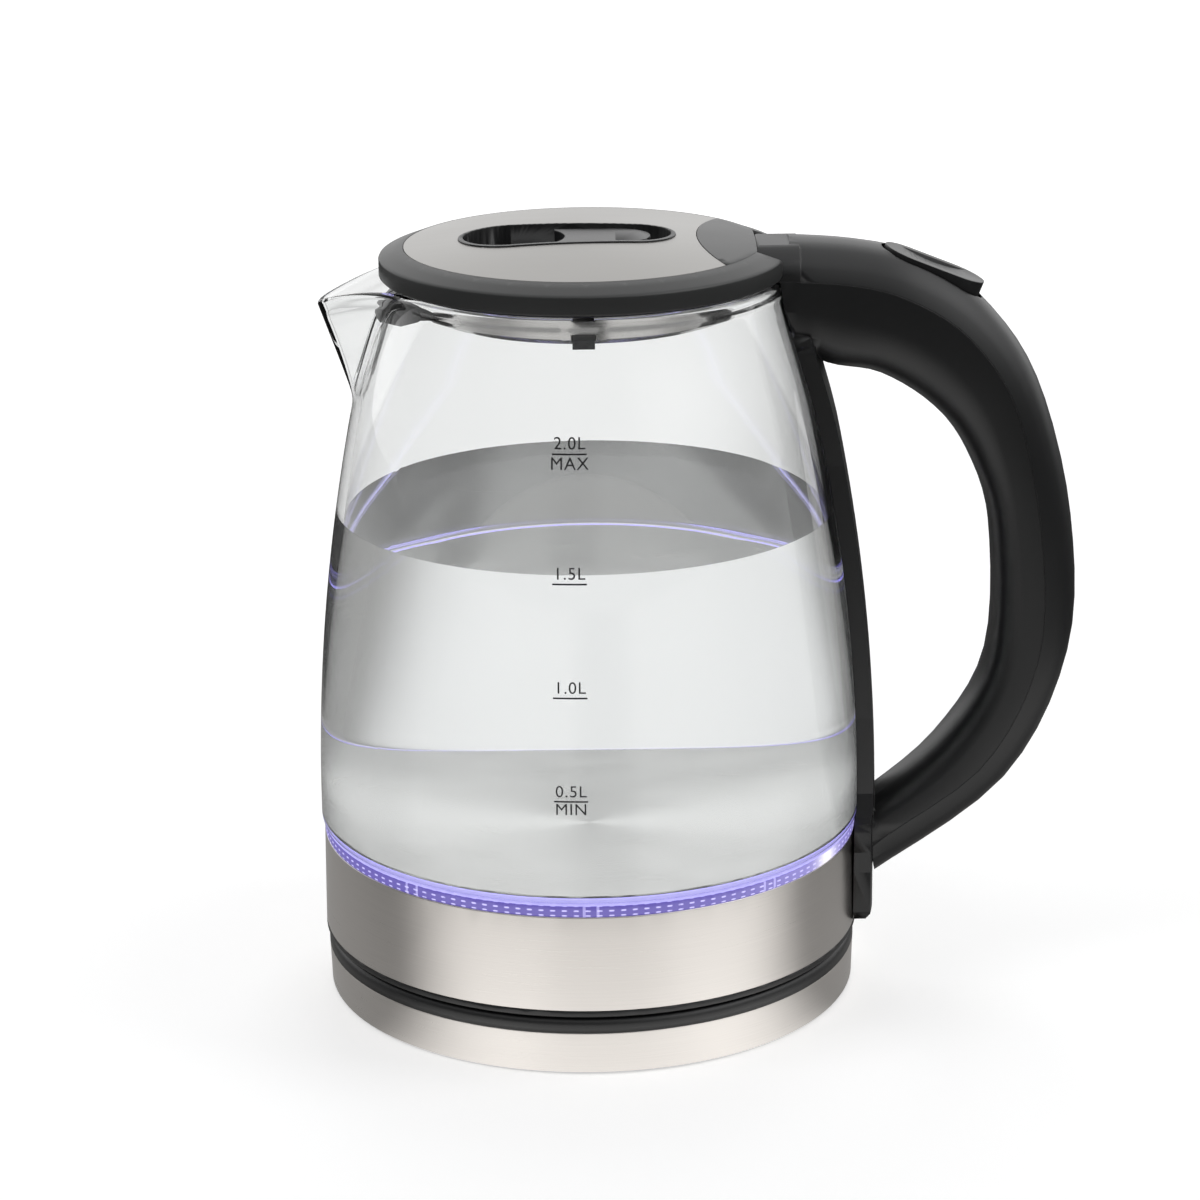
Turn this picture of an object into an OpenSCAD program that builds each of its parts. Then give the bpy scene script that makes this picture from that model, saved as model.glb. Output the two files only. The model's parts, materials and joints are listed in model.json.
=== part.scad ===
// Electric kettle: glass jug on a steel-clad heater base, hinged lid with a
// sliding release, grip with a rocker switch, and a swivelling power base.
// +Z is up, +X points to the handle, and the origin is the centre of the
// surface that the feet stand on. All sizes are in millimetres.

/* [Power base] */
// Radius of the steel band at its lower edge
base_r = 77.5; // [74:0.5:82]
// Height of the steel band
band_h = 12; // [9:0.5:16]
// Wall of the steel band
band_t = 0.8; // [0.5:0.1:1.2]
// Height of the black rim above the band
rim_h = 4.2; // [3.4:0.2:6]
// How far the rubber feet stand below the band
foot_h = 0.8; // [0.5:0.1:2]
// Number of rubber feet
foot_count = 4; // [3:1:6]
// Radius of the circle that the feet lie on
foot_circle_r = 62; // [54:1:66]
// Radius of the power connector that rises from the base
tower_r = 14; // [12:0.5:16]
// Height of the connector above the rim
tower_rise = 7; // [5:0.5:9]
// Radius of the mains cord that the outlet grommet is made for
cord_r = 3.4; // [2.8:0.1:4]

/* [Heater base of the jug] */
// Free height between the rim of the power base and the jug
lift_gap = 0.5; // [0.4:0.1:1]
// Height of the black ring under the steel skirt
jug_ring_h = 2.3; // [1.6:0.1:4]
// Outer radius of the steel skirt at its lower edge
skirt_r = 78.6; // [76:0.2:82]
// Height of the steel skirt
skirt_h = 27.9; // [24:0.5:34]
// Wall of the steel skirt
skirt_t = 0.6; // [0.4:0.1:1]
// Height of the clear light ring above the skirt
light_h = 3.4; // [2.6:0.2:5]
// Thickness of the silicone seal under the glass
seal_t = 0.7; // [0.5:0.1:1.2]
// Thickness of the heating plate
plate_t = 1.5; // [1:0.1:2]
// Mean radius of the ring-shaped heating element
element_r = 46; // [40:1:54]
// Number of LEDs that shine into the light ring
led_count = 6; // [4:1:12]

/* [Glass] */
// Height of the glass from its lower edge to its rim
glass_h = 159.8; // [150:1:172]
// Largest outer radius of the glass
belly_r = 78.9; // [77:0.2:80]
// Radius of the long arc that the glass wall follows
flank_arc_r = 565; // [500:5:700]
// Height above the glass's lower edge where the shoulder starts
shoulder_h = 116; // [100:1:125]
// Outer radius of the glass at its neck
neck_r = 56.6; // [55:0.2:58]
// Inward slope of the glass at its rim
neck_slope = 0.15; // [0:0.05:0.25]
// Thickness of the glass wall
glass_t = 2.6; // [2:0.1:3.2]
// How far the pouring spout reaches from the axis
spout_reach = 75.5; // [70:0.5:80]
// Height of the spout tip below the rim
spout_drop = 6.6; // [4:0.2:9]
// Height of the spout from its root to the rim
spout_h = 35; // [28:1:42]
// Half of the angle that the spout takes out of the neck
spout_half_angle = 30; // [24:1:34]

/* [Lid] */
// Outer radius of the lid's black rim
lid_r = 57.55; // [56.8:0.05:59]
// Gap between the glass rim and the lid
lid_gap = 0.7; // [0.5:0.1:1.2]
// Height of the lid from its lower edge to the edge of the steel plate
lid_h = 8.1; // [7:0.1:10]
// Radius of the steel plate
lid_plate_r = 50.4; // [47:0.2:52]
// Rise of the steel plate from its edge to its crown
lid_crown = 2.9; // [1.5:0.1:4.5]
// Radius of the steel cup inside the neck
inner_cup_r = 42; // [38:0.5:44]
// How far the steel cup hangs below the lid
inner_cup_h = 11.3; // [10.8:0.1:14]
// Half of the distance between the recess's two round ends
recess_half_l = 17.4; // [16:0.2:18]
// Radius of the recess at its wide end
recess_wide_r = 14.3; // [13:0.1:15]
// Radius of the recess at its narrow end
recess_narrow_r = 12; // [11.5:0.1:12.8]
// Travel of the release slide
paddle_travel = 5; // [3:0.5:5]
// Distance of the lid hinge from the jug's axis
hinge_x = 52.5; // [52:0.1:53]
// Radius of the hinge pin
pin_r = 1.5; // [1:0.1:2]
// Radius of the barrel that covers the hinge
barrel_r = 5.2; // [4.8:0.1:5.6]
// Half width of the hinge barrel
barrel_hw = 14.8; // [13:0.1:15]

/* [Handle] */
// Reach of the grip from the skirt's surface
grip_reach = 62.3; // [56:0.5:68]
// Half width of the grip at its middle
grip_hw = 15; // [13:0.5:17]
// Depth of the outer cover, from the back of the grip to the parting line
cover_depth = 10; // [8.5:0.5:10.5]
// Wall of the handle shells
shell_t = 2.4; // [1.8:0.1:2.8]
// Half width of the strap that lies on the glass
strap_hw = 13; // [11:0.5:15]
// Thickness of the strap
strap_t = 5; // [4.4:0.2:6]
// Length of the rocker switch
rocker_l = 30; // [26:0.5:32]
// Width of the rocker switch
rocker_w = 17; // [14:0.5:18]

/* [Hidden] */

fine = 96;          // segments of a large circle
round_fn = 48;      // segments of a small circle
soft_fn = 24;       // segments of a circle inside a hull
touch = 0.05;       // play between pieces of one body
gap = 0.3;          // gap between pieces of different bodies
fit = 0.05;         // radial clearance of a pin in its bore
eps = 1;            // how far a cutter runs past the surface it cuts

black = [0.07, 0.07, 0.08];
steel = [0.78, 0.77, 0.75];

// Heights of the stack, from the feet up
z_band = foot_h;
z_rim = z_band + band_h;
z_rim_top = z_rim + rim_h;
z_jug = z_rim_top + lift_gap;
z_skirt = z_jug + jug_ring_h;
z_light = z_skirt + skirt_h;
z_seal = z_light + light_h;
z_glass = z_seal + seal_t;
z_neck_rim = z_glass + glass_h;
z_lid = z_neck_rim + lid_gap;
z_lid_edge = z_lid + lid_h;
z_shoulder = z_glass + shoulder_h;
hinge_z = z_lid + 4.2;

// ---- shared shapes ----

// A solid of revolution about Z from [radius, height] points
module turned(points, fn = fine) rotate_extrude($fn = fn) polygon(points);

// A ring between two radii and two heights
module ring(r_in, r_out, z0, z1, fn = fine)
    turned([[r_in, z0], [r_out, z0], [r_out, z1], [r_in, z1]], fn);

// A rod along Z
module rod(r, z0, z1, fn = round_fn) translate([0, 0, z0]) cylinder(r = r, h = z1 - z0, $fn = fn);

// A rod along Y
module rod_y(r, y0, y1, fn = round_fn)
    translate([0, y0, 0]) rotate([-90, 0, 0]) cylinder(r = r, h = y1 - y0, $fn = fn);

// A box from its low corner to its high corner
module block(lo, hi) translate(lo) cube(hi - lo);

// Copies on a circle
module around(count, r, start = 0)
    for (i = [0 : count - 1]) rotate([0, 0, start + i * 360 / count]) translate([r, 0, 0]) children();

// A pan-head screw along Z with its head at the lower end
module screw(z_head, z_tip, r_head = 3, r_shank = 1.4, head_h = 1.6)
    difference() {
        union() {
            rod(r_head, z_head, z_head + head_h);
            rod(r_shank, z_head, z_tip);
        }
        for (a = [0, 90]) rotate([0, 0, a]) block([-1.8, -0.4, z_head - eps], [1.8, 0.4, z_head + 0.8]);
    }

// A smooth curve through points: a Catmull-Rom spline sampled n times a span
function knot(p, i) = p[min(max(i, 0), len(p) - 1)];
function spline_at(p, i, t) =
    0.5 * (2 * knot(p, i) + (knot(p, i + 1) - knot(p, i - 1)) * t
    + (2 * knot(p, i - 1) - 5 * knot(p, i) + 4 * knot(p, i + 1) - knot(p, i + 2)) * t * t
    + (3 * knot(p, i) - knot(p, i - 1) - 3 * knot(p, i + 1) + knot(p, i + 2)) * t * t * t);
function spline(p, n) = concat([for (i = [0 : len(p) - 2], j = [0 : n - 1]) spline_at(p, i, j / n)],
    [p[len(p) - 1]]);

// A closed solid through a list of rings with an even number of points. Each
// end is closed by a strip between the ring's first half and its second
function strip_cap(n, start, flip) = [for (k = [0 : n / 2 - 2])
    let(a = start + k, b = a + 1, c = start + n - 2 - k, d = c + 1)
    each flip ? [[a, c, b], [a, d, c]] : [[a, b, c], [a, c, d]]];
module lofted(rings) {
    n = len(rings[0]);
    m = len(rings);
    polyhedron(points = [for (r = rings, p = r) p],
        faces = concat(
            strip_cap(n, 0, false), strip_cap(n, (m - 1) * n, true),
            [for (i = [0 : m - 2], j = [0 : n - 1]) let(k = (j + 1) % n)
                [i * n + j, (i + 1) * n + j, (i + 1) * n + k]],
            [for (i = [0 : m - 2], j = [0 : n - 1]) let(k = (j + 1) % n)
                [i * n + j, (i + 1) * n + k, i * n + k]]));
}

// ---- the glass profile ----

// Outer radius of the glass: a long arc up to the shoulder, then a cubic
// that runs into the neck
belly_z = z_glass + 3.2;
shoulder_r = belly_r - pow(z_shoulder - belly_z, 2) / (2 * flank_arc_r);
shoulder_slope = -(z_shoulder - belly_z) / flank_arc_r;
function glass_r(z) =
    z < z_shoulder ? belly_r - pow(z - belly_z, 2) / (2 * flank_arc_r)
    : let(h = z_neck_rim - z_shoulder, t = min(1, (z - z_shoulder) / h))
        (2 * t * t * t - 3 * t * t + 1) * shoulder_r
        + (t * t * t - 2 * t * t + t) * h * shoulder_slope
        + (3 * t * t - 2 * t * t * t) * neck_r
        - (t * t * t - t * t) * h * neck_slope;

glass_steps = 28;
bead_h = 4.2;       // height of the thick bead at the rim
bead_in = 1;        // how far the bead stands inwards
function profile_z(i, z0, z1) = z0 + (z1 - z0) * i / glass_steps;
function glass_wall(off, z0, z1) =
    [for (i = [0 : glass_steps]) let(z = profile_z(i, z0, z1)) [glass_r(z) + off, z]];
function reversed(v) = [for (i = [len(v) - 1 : -1 : 0]) v[i]];

bead_z = z_neck_rim - bead_h;
inner_neck_r = neck_r - glass_t;
bead_r = inner_neck_r - bead_in;   // inner radius of the bead

// ---- power base ----

rim_inner_r = base_r - 6;     // where the rim turns down into the dish
dish_z = z_rim + 1.2;         // top of the dish
shell_wall = 2;               // wall of the moulded covers
collar_r = tower_r + 5;       // raised collar around the connector
collar_z = z_rim_top + 1.4;   // top of the collar
tower_z = z_rim_top + tower_rise;
floor_t = 2;                  // thickness of the base's floor

module base_top_shell() color(black) difference() {
    turned([
        [tower_r + touch, z_rim - 1], [base_r - 2.4, z_rim - 1],
        [base_r - 2.4, z_rim], [base_r + 0.4, z_rim], [base_r + 0.4, z_rim + rim_h * 0.6],
        [base_r - 0.2, z_rim_top - 0.4], [base_r - 1.2, z_rim_top], [rim_inner_r + 2, z_rim_top],
        [rim_inner_r, z_rim_top - 1], [rim_inner_r - 3, dish_z + 0.4], [rim_inner_r - 6, dish_z],
        [collar_r + 4, dish_z], [collar_r, collar_z - 0.8], [collar_r - 0.8, collar_z],
        [tower_r + touch, collar_z]]);
    // hollow underside
    turned([[tower_r + 2.2, z_rim - 1 - eps], [base_r - 6, z_rim - 1 - eps],
        [base_r - 6, dish_z - shell_wall], [collar_r + 2, dish_z - shell_wall],
        [collar_r - 2, collar_z - shell_wall - 0.6], [tower_r + 2.2, collar_z - shell_wall - 0.6]]);
}

module base_steel_band() color(steel) difference() {
    turned([[base_r - band_t, z_band], [base_r - 0.2, z_band], [base_r, z_band + 0.3],
        [base_r + 0.4, z_rim - 0.3], [base_r + 0.2, z_rim], [base_r - band_t, z_rim]]);
    cord_notch(base_r - 4, base_r + 4, cord_r + 2.4);
}

// The way that the mains cord takes out of the base, at the back
cord_z = z_band + cord_r + 2.2;
module cord_notch(y0, y1, r) {
    translate([0, 0, cord_z]) rod_y(r, y0, y1);
    block([-r, y0, z_band - eps], [r, y1, cord_z]);
}

boss_r = 3.4;
base_screw_r = 44;
module base_bottom_cover() color(black) difference() {
    union() {
        rod(base_r - band_t - touch, z_band, z_band + floor_t, fine);
        ring(base_r - band_t - 2.4, base_r - band_t - touch, z_band, z_rim - 1 - touch);
        around(3, base_screw_r, 30) rod(boss_r, z_band, dish_z - shell_wall - touch);
        ring(tower_r - 4, tower_r + 1.6, z_band, z_band + 6);
    }
    cord_notch(base_r - 6, base_r + 4, cord_r + 2.4);
    around(3, base_screw_r, 30) {
        rod(3.2, z_band - eps, z_band + 1.8);
        rod(1.4 + touch, z_band, dish_z);
    }
    around(foot_count, foot_circle_r, 45) rod(foot_r + touch, z_band - eps, z_band + foot_seat);
}

foot_r = 6;
foot_seat = 1;
module rubber_feet() color([0.12, 0.12, 0.12]) around(foot_count, foot_circle_r, 45)
    turned([[0, 0], [foot_r - 0.6, 0], [foot_r - 0.2, foot_h * 0.5], [foot_r - 0.2, z_band],
        [foot_r, z_band + touch], [foot_r, z_band + foot_seat], [0, z_band + foot_seat]], round_fn);

module base_screws() color(steel) around(3, base_screw_r, 30)
    screw(z_band + 0.15, dish_z - shell_wall - 1, 2.9, 1.4, 1.6);

module cord_grommet() color([0.1, 0.1, 0.1]) difference() {
    intersection() {
        cord_notch(base_r - 6, base_r + 1.2, cord_r + 2.4 - touch);
        block([-20, base_r - 6, z_band + 0.1], [20, base_r + 1.2, z_rim - 1.2]);
    }
    translate([0, 0, cord_z]) rod_y(cord_r, base_r - 6 - eps, base_r + 1.2 + eps);
}

earth_r = 3;                 // radius of the centre contact
module connector_tower() color([0.1, 0.1, 0.11]) difference() {
    turned([[0, z_band + 6], [tower_r, z_band + 6], [tower_r, tower_z - 1], [tower_r - 1, tower_z],
        [0, tower_z]]);
    // centre hole, two ring slots for the live and neutral contacts
    rod(earth_r + fit, z_band + 8, tower_z + eps);
    ring(5.6, 7.2, z_band + 9, tower_z + eps, round_fn);
    ring(9.6, 11.2, z_band + 9, tower_z + eps, round_fn);
}

module contact_rings() color([0.78, 0.55, 0.25]) for (r = [6.4, 10.4])
    ring(r - 0.75, r + 0.75, z_band + 9, tower_z - 3, round_fn);

module earth_pin() color([0.8, 0.62, 0.3])
    turned([[0, z_band + 8.2], [earth_r, z_band + 8.2], [earth_r, tower_z - 1.2],
        [earth_r - 0.8, tower_z - 0.4], [0, tower_z - 0.4]], round_fn);

// ---- heater base of the jug ----

socket_r = tower_r + 1.2;        // inner radius of the jug's socket
jug_floor_z = z_skirt + 1.4;     // underside of the jug's floor, above the base's dish
jug_floor_t = 2;
spreader_r = min(skirt_r, belly_r) - 18.6;
spreader_t = 2;
jug_screw_r = spreader_r - 2;
jug_screw_start = 60;
socket_top = tower_z + 1.5;
boss_h = 8;                      // height of the screw bosses
rib_h = 10;                      // height of the ribs beside them

module jug_bottom_cover() color(black) difference() {
    union() {
        turned([[skirt_r - 5.3, z_jug], [skirt_r - 1.2, z_jug], [skirt_r - 0.4, z_jug + 0.4],
            [skirt_r, z_jug + 1], [skirt_r, z_skirt], [skirt_r - skirt_t - touch, z_skirt],
            [skirt_r - skirt_t - touch, z_skirt + 4], [skirt_r - skirt_t - 2.4, z_skirt + 4],
            [skirt_r - skirt_t - 2.4, jug_floor_z + jug_floor_t],
            [socket_r + 3, jug_floor_z + jug_floor_t], [socket_r + 3, jug_floor_z],
            [skirt_r - 9.1, jug_floor_z]]);
        around(3, jug_screw_r, jug_screw_start) rod(boss_r, jug_floor_z, jug_floor_z + boss_h);
    }
    around(3, jug_screw_r, jug_screw_start) {
        rod(3.2, z_jug - eps, jug_floor_z + 1);
        rod(1.4 + touch, jug_floor_z, jug_floor_z + boss_h + eps);
    }
}

module bottom_screws() color(steel) around(3, jug_screw_r, jug_screw_start)
    screw(jug_floor_z - 0.65, jug_floor_z + boss_h + 4, 3, 1.4, 1.6);

module skirt_band() color(steel) difference() {
    turned([[skirt_r - skirt_t, z_skirt + touch], [skirt_r - 0.1, z_skirt + touch],
        [skirt_r, z_skirt + 0.4], [skirt_r - 0.4, z_light - 0.3], [skirt_r - 0.6, z_light],
        [skirt_r - skirt_t - 0.4, z_light], [skirt_r - skirt_t - 0.4, z_light - 1],
        [skirt_r - skirt_t, z_light - 2]]);
    lead_hole();
}

liner_r = skirt_r - skirt_t - 0.45;
module skirt_liner() color([0.2, 0.2, 0.2]) difference() {
    union() {
        ring(liner_r - 1.8, liner_r, z_skirt + 4.1, z_light - touch);
        ring(spreader_r + 1, liner_r, z_light - 2, z_light - touch);
        around(3, jug_screw_r, jug_screw_start) {
            rod(boss_r, jug_floor_z + boss_h + 0.1, z_light - 2);
            block([0, -1, z_light - 2 - rib_h], [liner_r - jug_screw_r - 1, 1, z_light - 2]);
        }
    }
    around(3, jug_screw_r, jug_screw_start) rod(1.4 + touch, jug_floor_z + boss_h, z_light - 8);
    lead_hole();
}

light_in_r = skirt_r - 8;
module light_ring() color([0.6, 0.6, 1, 0.6])
    turned([[light_in_r, z_light], [skirt_r - 0.9, z_light], [skirt_r - 0.5, z_light + 0.5],
        [skirt_r - 0.5, z_seal - 0.4], [skirt_r - 0.9, z_seal], [light_in_r, z_seal]]);

plate_r = belly_r - glass_t - 1.1;
module heating_plate() color(steel)
    turned([[0, z_glass], [plate_r - 4, z_glass], [plate_r - 3, z_seal + touch],
        [plate_r, z_seal + touch], [plate_r, z_glass + plate_t - 0.4],
        [plate_r - 0.5, z_glass + plate_t], [0, z_glass + plate_t]]);

module plate_seal() color([0.85, 0.85, 0.86])
    turned([[plate_r + touch, z_seal], [belly_r - 0.7, z_seal], [belly_r - 0.7, z_glass - 0.02],
        [belly_r - glass_t - touch, z_glass - 0.02], [belly_r - glass_t - 0.1, z_glass + plate_t - 0.4],
        [plate_r + touch, z_glass + plate_t - 0.4]]);

module heat_spreader() color([0.75, 0.75, 0.77])
    rod(spreader_r, z_glass - spreader_t, z_glass, fine);

element_w = 7;
element_h = 5;
element_gap = 40;      // angle left open between the element's ends
z_element = z_glass - spreader_t - element_h;
module heating_element() color([0.55, 0.55, 0.57]) difference() {
    ring(element_r - element_w / 2, element_r + element_w / 2, z_element, z_element + element_h);
    translate([0, 0, z_element - eps]) linear_extrude(height = element_h + 2 * eps)
        polygon([[0, 0], [-2 * element_r, 2 * element_r * tan(element_gap / 2)],
            [-2 * element_r, -2 * element_r * tan(element_gap / 2)]]);
}

terminal_h = 8;
terminal_a = 6;        // angle from the element's end to its terminal
module element_terminals() color([0.8, 0.6, 0.3]) for (s = [-1, 1])
    rotate([0, 0, 180 + s * (element_gap / 2 + terminal_a)]) translate([element_r, 0, 0])
        rod(1.6, z_element - terminal_h, z_element - touch, 24);

control_r = socket_r + 5.8;
z_control = jug_floor_z + jug_floor_t + touch;
z_control_top = z_glass - spreader_t - touch;
module control_unit() color([0.88, 0.87, 0.82]) difference() {
    turned([[socket_r + 2.6, z_control], [control_r, z_control], [control_r, z_control_top - 6],
        [control_r - 4, z_control_top - 3], [0, z_control_top - 3], [0, socket_top + 0.1],
        [socket_r + 2.6, socket_top + 0.1]]);
    for (a = [90, 210, 330]) rotate([0, 0, a]) translate([disc_place, 0, 0])
        rod(disc_r + touch, z_control_top - disc_h, z_control_top);
}

module jug_socket() color([0.12, 0.12, 0.12]) difference() {
    turned([[socket_r, z_jug + 1.2], [socket_r + 2.4, z_jug + 1.2], [socket_r + 2.4, socket_top],
        [0, socket_top], [0, tower_z + gap], [socket_r, tower_z + gap]]);
}

disc_r = 5;
disc_place = 11;       // distance of each disc from the middle
disc_h = 3.6;
module boil_dry_discs() color([0.7, 0.6, 0.45]) for (a = [90, 210, 330])
    rotate([0, 0, a]) translate([disc_place, 0, 0]) rod(disc_r, z_control_top - disc_h, z_control_top);

led_z = z_light + 0.4;
board_in_r = spreader_r + 2;
board_out_r = light_in_r - 2.6;
module led_board() color([0.1, 0.3, 0.2]) ring(board_in_r, board_out_r, z_light, led_z);
module leds() color([0.5, 0.5, 1]) around(led_count, board_out_r - 1, 12)
    block([-1.2, -1.5, led_z], [1.2, 1.5, led_z + 1.6]);

// ---- glass ----

spout_wall = 2.2;
z_tip = z_neck_rim - spout_drop;
z_root = z_neck_rim - spout_h;
spout_edge_r = 2.4;      // roundness of the spout's outside

// The wedge of the spout; inset shrinks it, lift raises its open top
module spout_wedge(inset, lift) {
    side_r = neck_r - spout_edge_r - 1.2 - inset * 0.6;
    side_a = spout_half_angle - inset * 1.6;
    hull() {
        for (s = [-1, 1]) rotate([0, 0, 180 + s * side_a]) translate([side_r, 0, z_root + 12])
            cylinder(r = spout_edge_r, h = spout_h - 12 + lift, $fn = soft_fn);
        translate([-(spout_reach - spout_edge_r - inset * 1.7), 0, z_tip - 4 + inset])
            cylinder(r = spout_edge_r - inset * 0.4, h = 4 + lift, $fn = soft_fn);
        translate([-(glass_r(z_root) - spout_edge_r - inset), 0, z_root])
            cylinder(r = spout_edge_r, h = 2, $fn = soft_fn);
    }
}

module glass_jug() color([0.85, 0.9, 0.95, 0.4]) difference() {
    union() {
        turned(concat([[0, z_glass], [belly_r - 0.7, z_glass]],
            glass_wall(0, z_glass + 0.6, z_neck_rim - 0.8), [[neck_r - 0.8, z_neck_rim],
            [0, z_neck_rim]]));
        spout_wedge(0, -0.4);
    }
    glass_bore();
    spout_wedge(spout_wall, 20);
}

// The space inside the glass, narrowed by the bead at the rim
module glass_bore() turned(concat([[0, z_glass - eps], [belly_r - glass_t, z_glass - eps]],
    glass_wall(-glass_t, z_glass, bead_z - 1),
    [[glass_r(bead_z) - glass_t, bead_z - 0.4], [bead_r, bead_z + 0.6], [bead_r, z_neck_rim - 0.8],
    [bead_r + 0.8, z_neck_rim], [bead_r + 0.8, z_neck_rim + 30], [0, z_neck_rim + 30]]));

// ---- handle ----

// Side view of the grip: points of its outer and inner face. X is a share of
// the reach from the skirt, or of the way from the skirt to the hinge, Z a
// share of the height from the skirt to the lid
grip_h = z_lid - z_skirt;
grip_root_r = max(skirt_r, belly_r - 0.3);
function grip_point(fx, fz) =
    [grip_root_r + fx * (fx < 0 ? grip_root_r - hinge_x : grip_reach), z_skirt + fz * grip_h];
outer_face = spline([grip_point(-0.94, 1.049), grip_point(-0.095, 1.041), grip_point(0.247, 1.018),
    grip_point(0.55, 0.955), grip_point(0.81, 0.833), grip_point(0.975, 0.63),
    grip_point(0.979, 0.415), grip_point(0.70, 0.213), grip_point(0.087, 0.061)], 5);
inner_face = spline([grip_point(-0.94, 0.9), grip_point(-0.382, 0.862), grip_point(0.08, 0.847),
    grip_point(0.32, 0.797), grip_point(0.49, 0.724), grip_point(0.602, 0.607),
    grip_point(0.597, 0.402), grip_point(0.365, 0.268), grip_point(0.02, 0.17)], 5);
front_hw = barrel_hw;
half_width = spline([front_hw, front_hw + 0.2, grip_hw + 1.5, grip_hw + 1.5, grip_hw + 0.5, grip_hw,
    grip_hw - 0.5, grip_hw - 1.5, grip_hw - 2.5], 5);

// Rounded-box outline in the plane of one station: u is measured from the
// middle towards the outer face, v is the side
roundness = 2.7;
function sgn_pow(x, e) = sign(x) * pow(abs(x), e);
function station(i, a, off) = let(
    o = outer_face[i], q = inner_face[i],
    m = (o + q) / 2, d = norm(o - q) / 2, n = (o - q) / (2 * d),
    u = (d - off) * sgn_pow(cos(a), 2 / roundness),
    v = -(half_width[i] - off) * sgn_pow(sin(a), 2 / roundness))
    [m[0] + n[0] * u, v, m[1] + n[1] * u];
// Angle at which the outline stands a given depth below the outer face
function depth_angle(i, depth, off) = let(
    d = norm(outer_face[i] - inner_face[i]) / 2,
    c = (d - depth) / (d - off))
    acos(sgn_pow(max(-1, min(1, c)), roundness / 2));

arc_steps = 10;
function cover_ring(i) = let(a = depth_angle(i, cover_depth, 0), b = depth_angle(i, cover_depth, shell_t))
    concat([for (k = [0 : arc_steps]) station(i, -a + 2 * a * k / arc_steps, 0)],
        [for (k = [0 : arc_steps]) station(i, b - 2 * b * k / arc_steps, shell_t)]);
function shell_ring(i) = let(
    a = depth_angle(i, cover_depth + touch, 0), b = depth_angle(i, cover_depth + touch, shell_t))
    concat([for (k = [0 : arc_steps]) station(i, a + (360 - 2 * a) * k / arc_steps, 0)],
        [for (k = [0 : arc_steps]) station(i, 360 - b - (360 - 2 * b) * k / arc_steps, shell_t)]);
last = len(outer_face) - 1;

// Room for the glass, the lid's rim and the skirt beside the handle
strap_play = 0.2;
module handle_clearance() {
    turned(concat([[0, z_glass - 1]], glass_wall(strap_play, z_glass - 1, z_neck_rim),
        [[neck_r + strap_play, z_lid - gap], [lid_r + 0.7, z_lid - gap],
        [lid_r + 0.7, z_lid + 30], [0, z_lid + 30]]));
    rod(grip_root_r + strap_play, z_skirt - 20, z_glass, fine);
}
// Room for the strap in the outer cover, whose lower end butts against it
module strap_room() turned(concat([[0, z_skirt - 20], [grip_root_r + strap_t + touch, z_skirt - 20],
    [grip_root_r + strap_t + touch, z_glass + 1]],
    glass_wall(strap_t + touch, z_glass + 2, z_shoulder), [[0, z_shoulder]]));

// The strap on the glass and its foot on the skirt, cut from a turned wall
strap_top = z_neck_rim - 16;
strap_foot_z = z_skirt + 0.3;
module strap() intersection() {
    turned(concat([[grip_root_r + strap_play, strap_foot_z],
        [grip_root_r + strap_t - 1.5, strap_foot_z], [grip_root_r + strap_t, strap_foot_z + 2],
        [grip_root_r + strap_t, z_glass + 1]],
        glass_wall(strap_t, z_glass + 2, strap_top),
        reversed(glass_wall(strap_play, z_glass + 1, strap_top)),
        [[grip_root_r + strap_play, z_glass]]));
    translate([skirt_r * 0.4, 0, 0]) rotate([90, 0, 90]) linear_extrude(height = skirt_r)
        polygon(concat([for (s = [1, -1]) each strap_side(s)]));
}
function strap_side(s) = let(p = [[strap_hw + 2, strap_foot_z], [strap_hw + 4, strap_foot_z + 3],
    [strap_hw + 3.4, z_light], [strap_hw + 0.6, z_glass + 7], [strap_hw, z_glass + 30],
    [strap_hw, z_shoulder - 10], [strap_hw + 1, z_shoulder + 10], [strap_hw + 1.8, strap_top]])
    [for (i = [0 : len(p) - 1]) let(k = s > 0 ? i : len(p) - 1 - i) [s * p[k][0], p[k][1]]];

module handle_inner_shell() color(black) difference() {
    union() {
        difference() {
            lofted([for (i = [0 : last]) shell_ring(i)]);
            handle_clearance();
        }
        strap();
        screw_boss(lower_screw, -1);
    }
    lead_channel();
    screw_bores();
}

module handle_outer_cover() color(black) difference() {
    union() {
        difference() {
            lofted([for (i = [0 : last]) cover_ring(i)]);
            handle_clearance();
            strap_room();
            swing_room();
        }
        hinge_block();
        screw_boss(upper_screw, 1);
    }
    translate([hinge_x, 0, hinge_z]) rod_y(pin_r + touch, -hinge_span - eps, hinge_span + eps);
    rocker_cutter();
    screw_bores();
}

// The hinge barrel: a rod about the hinge axis with rounded ends, cut level
// with the lid and held inside the section of the grip's front end
swing_r = barrel_r + 0.4;     // radius that the lid's rear edge swings on
cover_top = z_lid_edge + 0.3;
module grip_section() rotate([90, 0, 90]) linear_extrude(height = lid_r + 4)
    polygon([for (a = [0 : 5 : 355]) let(q = station(0, a, 0)) [q[1], q[2]]]);
module barrel_shape(off) translate([hinge_x, 0, hinge_z]) rotate([-90, 0, 0])
    turned([[0, -barrel_hw - off], [barrel_r * 0.45 + off, -barrel_hw - off],
        [barrel_r * 0.8 + off, -barrel_hw * 0.86 - off * 0.5], [barrel_r + off, -barrel_hw * 0.6],
        [barrel_r + off, barrel_hw * 0.6], [barrel_r * 0.8 + off, barrel_hw * 0.86 + off * 0.5],
        [barrel_r * 0.45 + off, barrel_hw + off], [0, barrel_hw + off]], round_fn);
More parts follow.
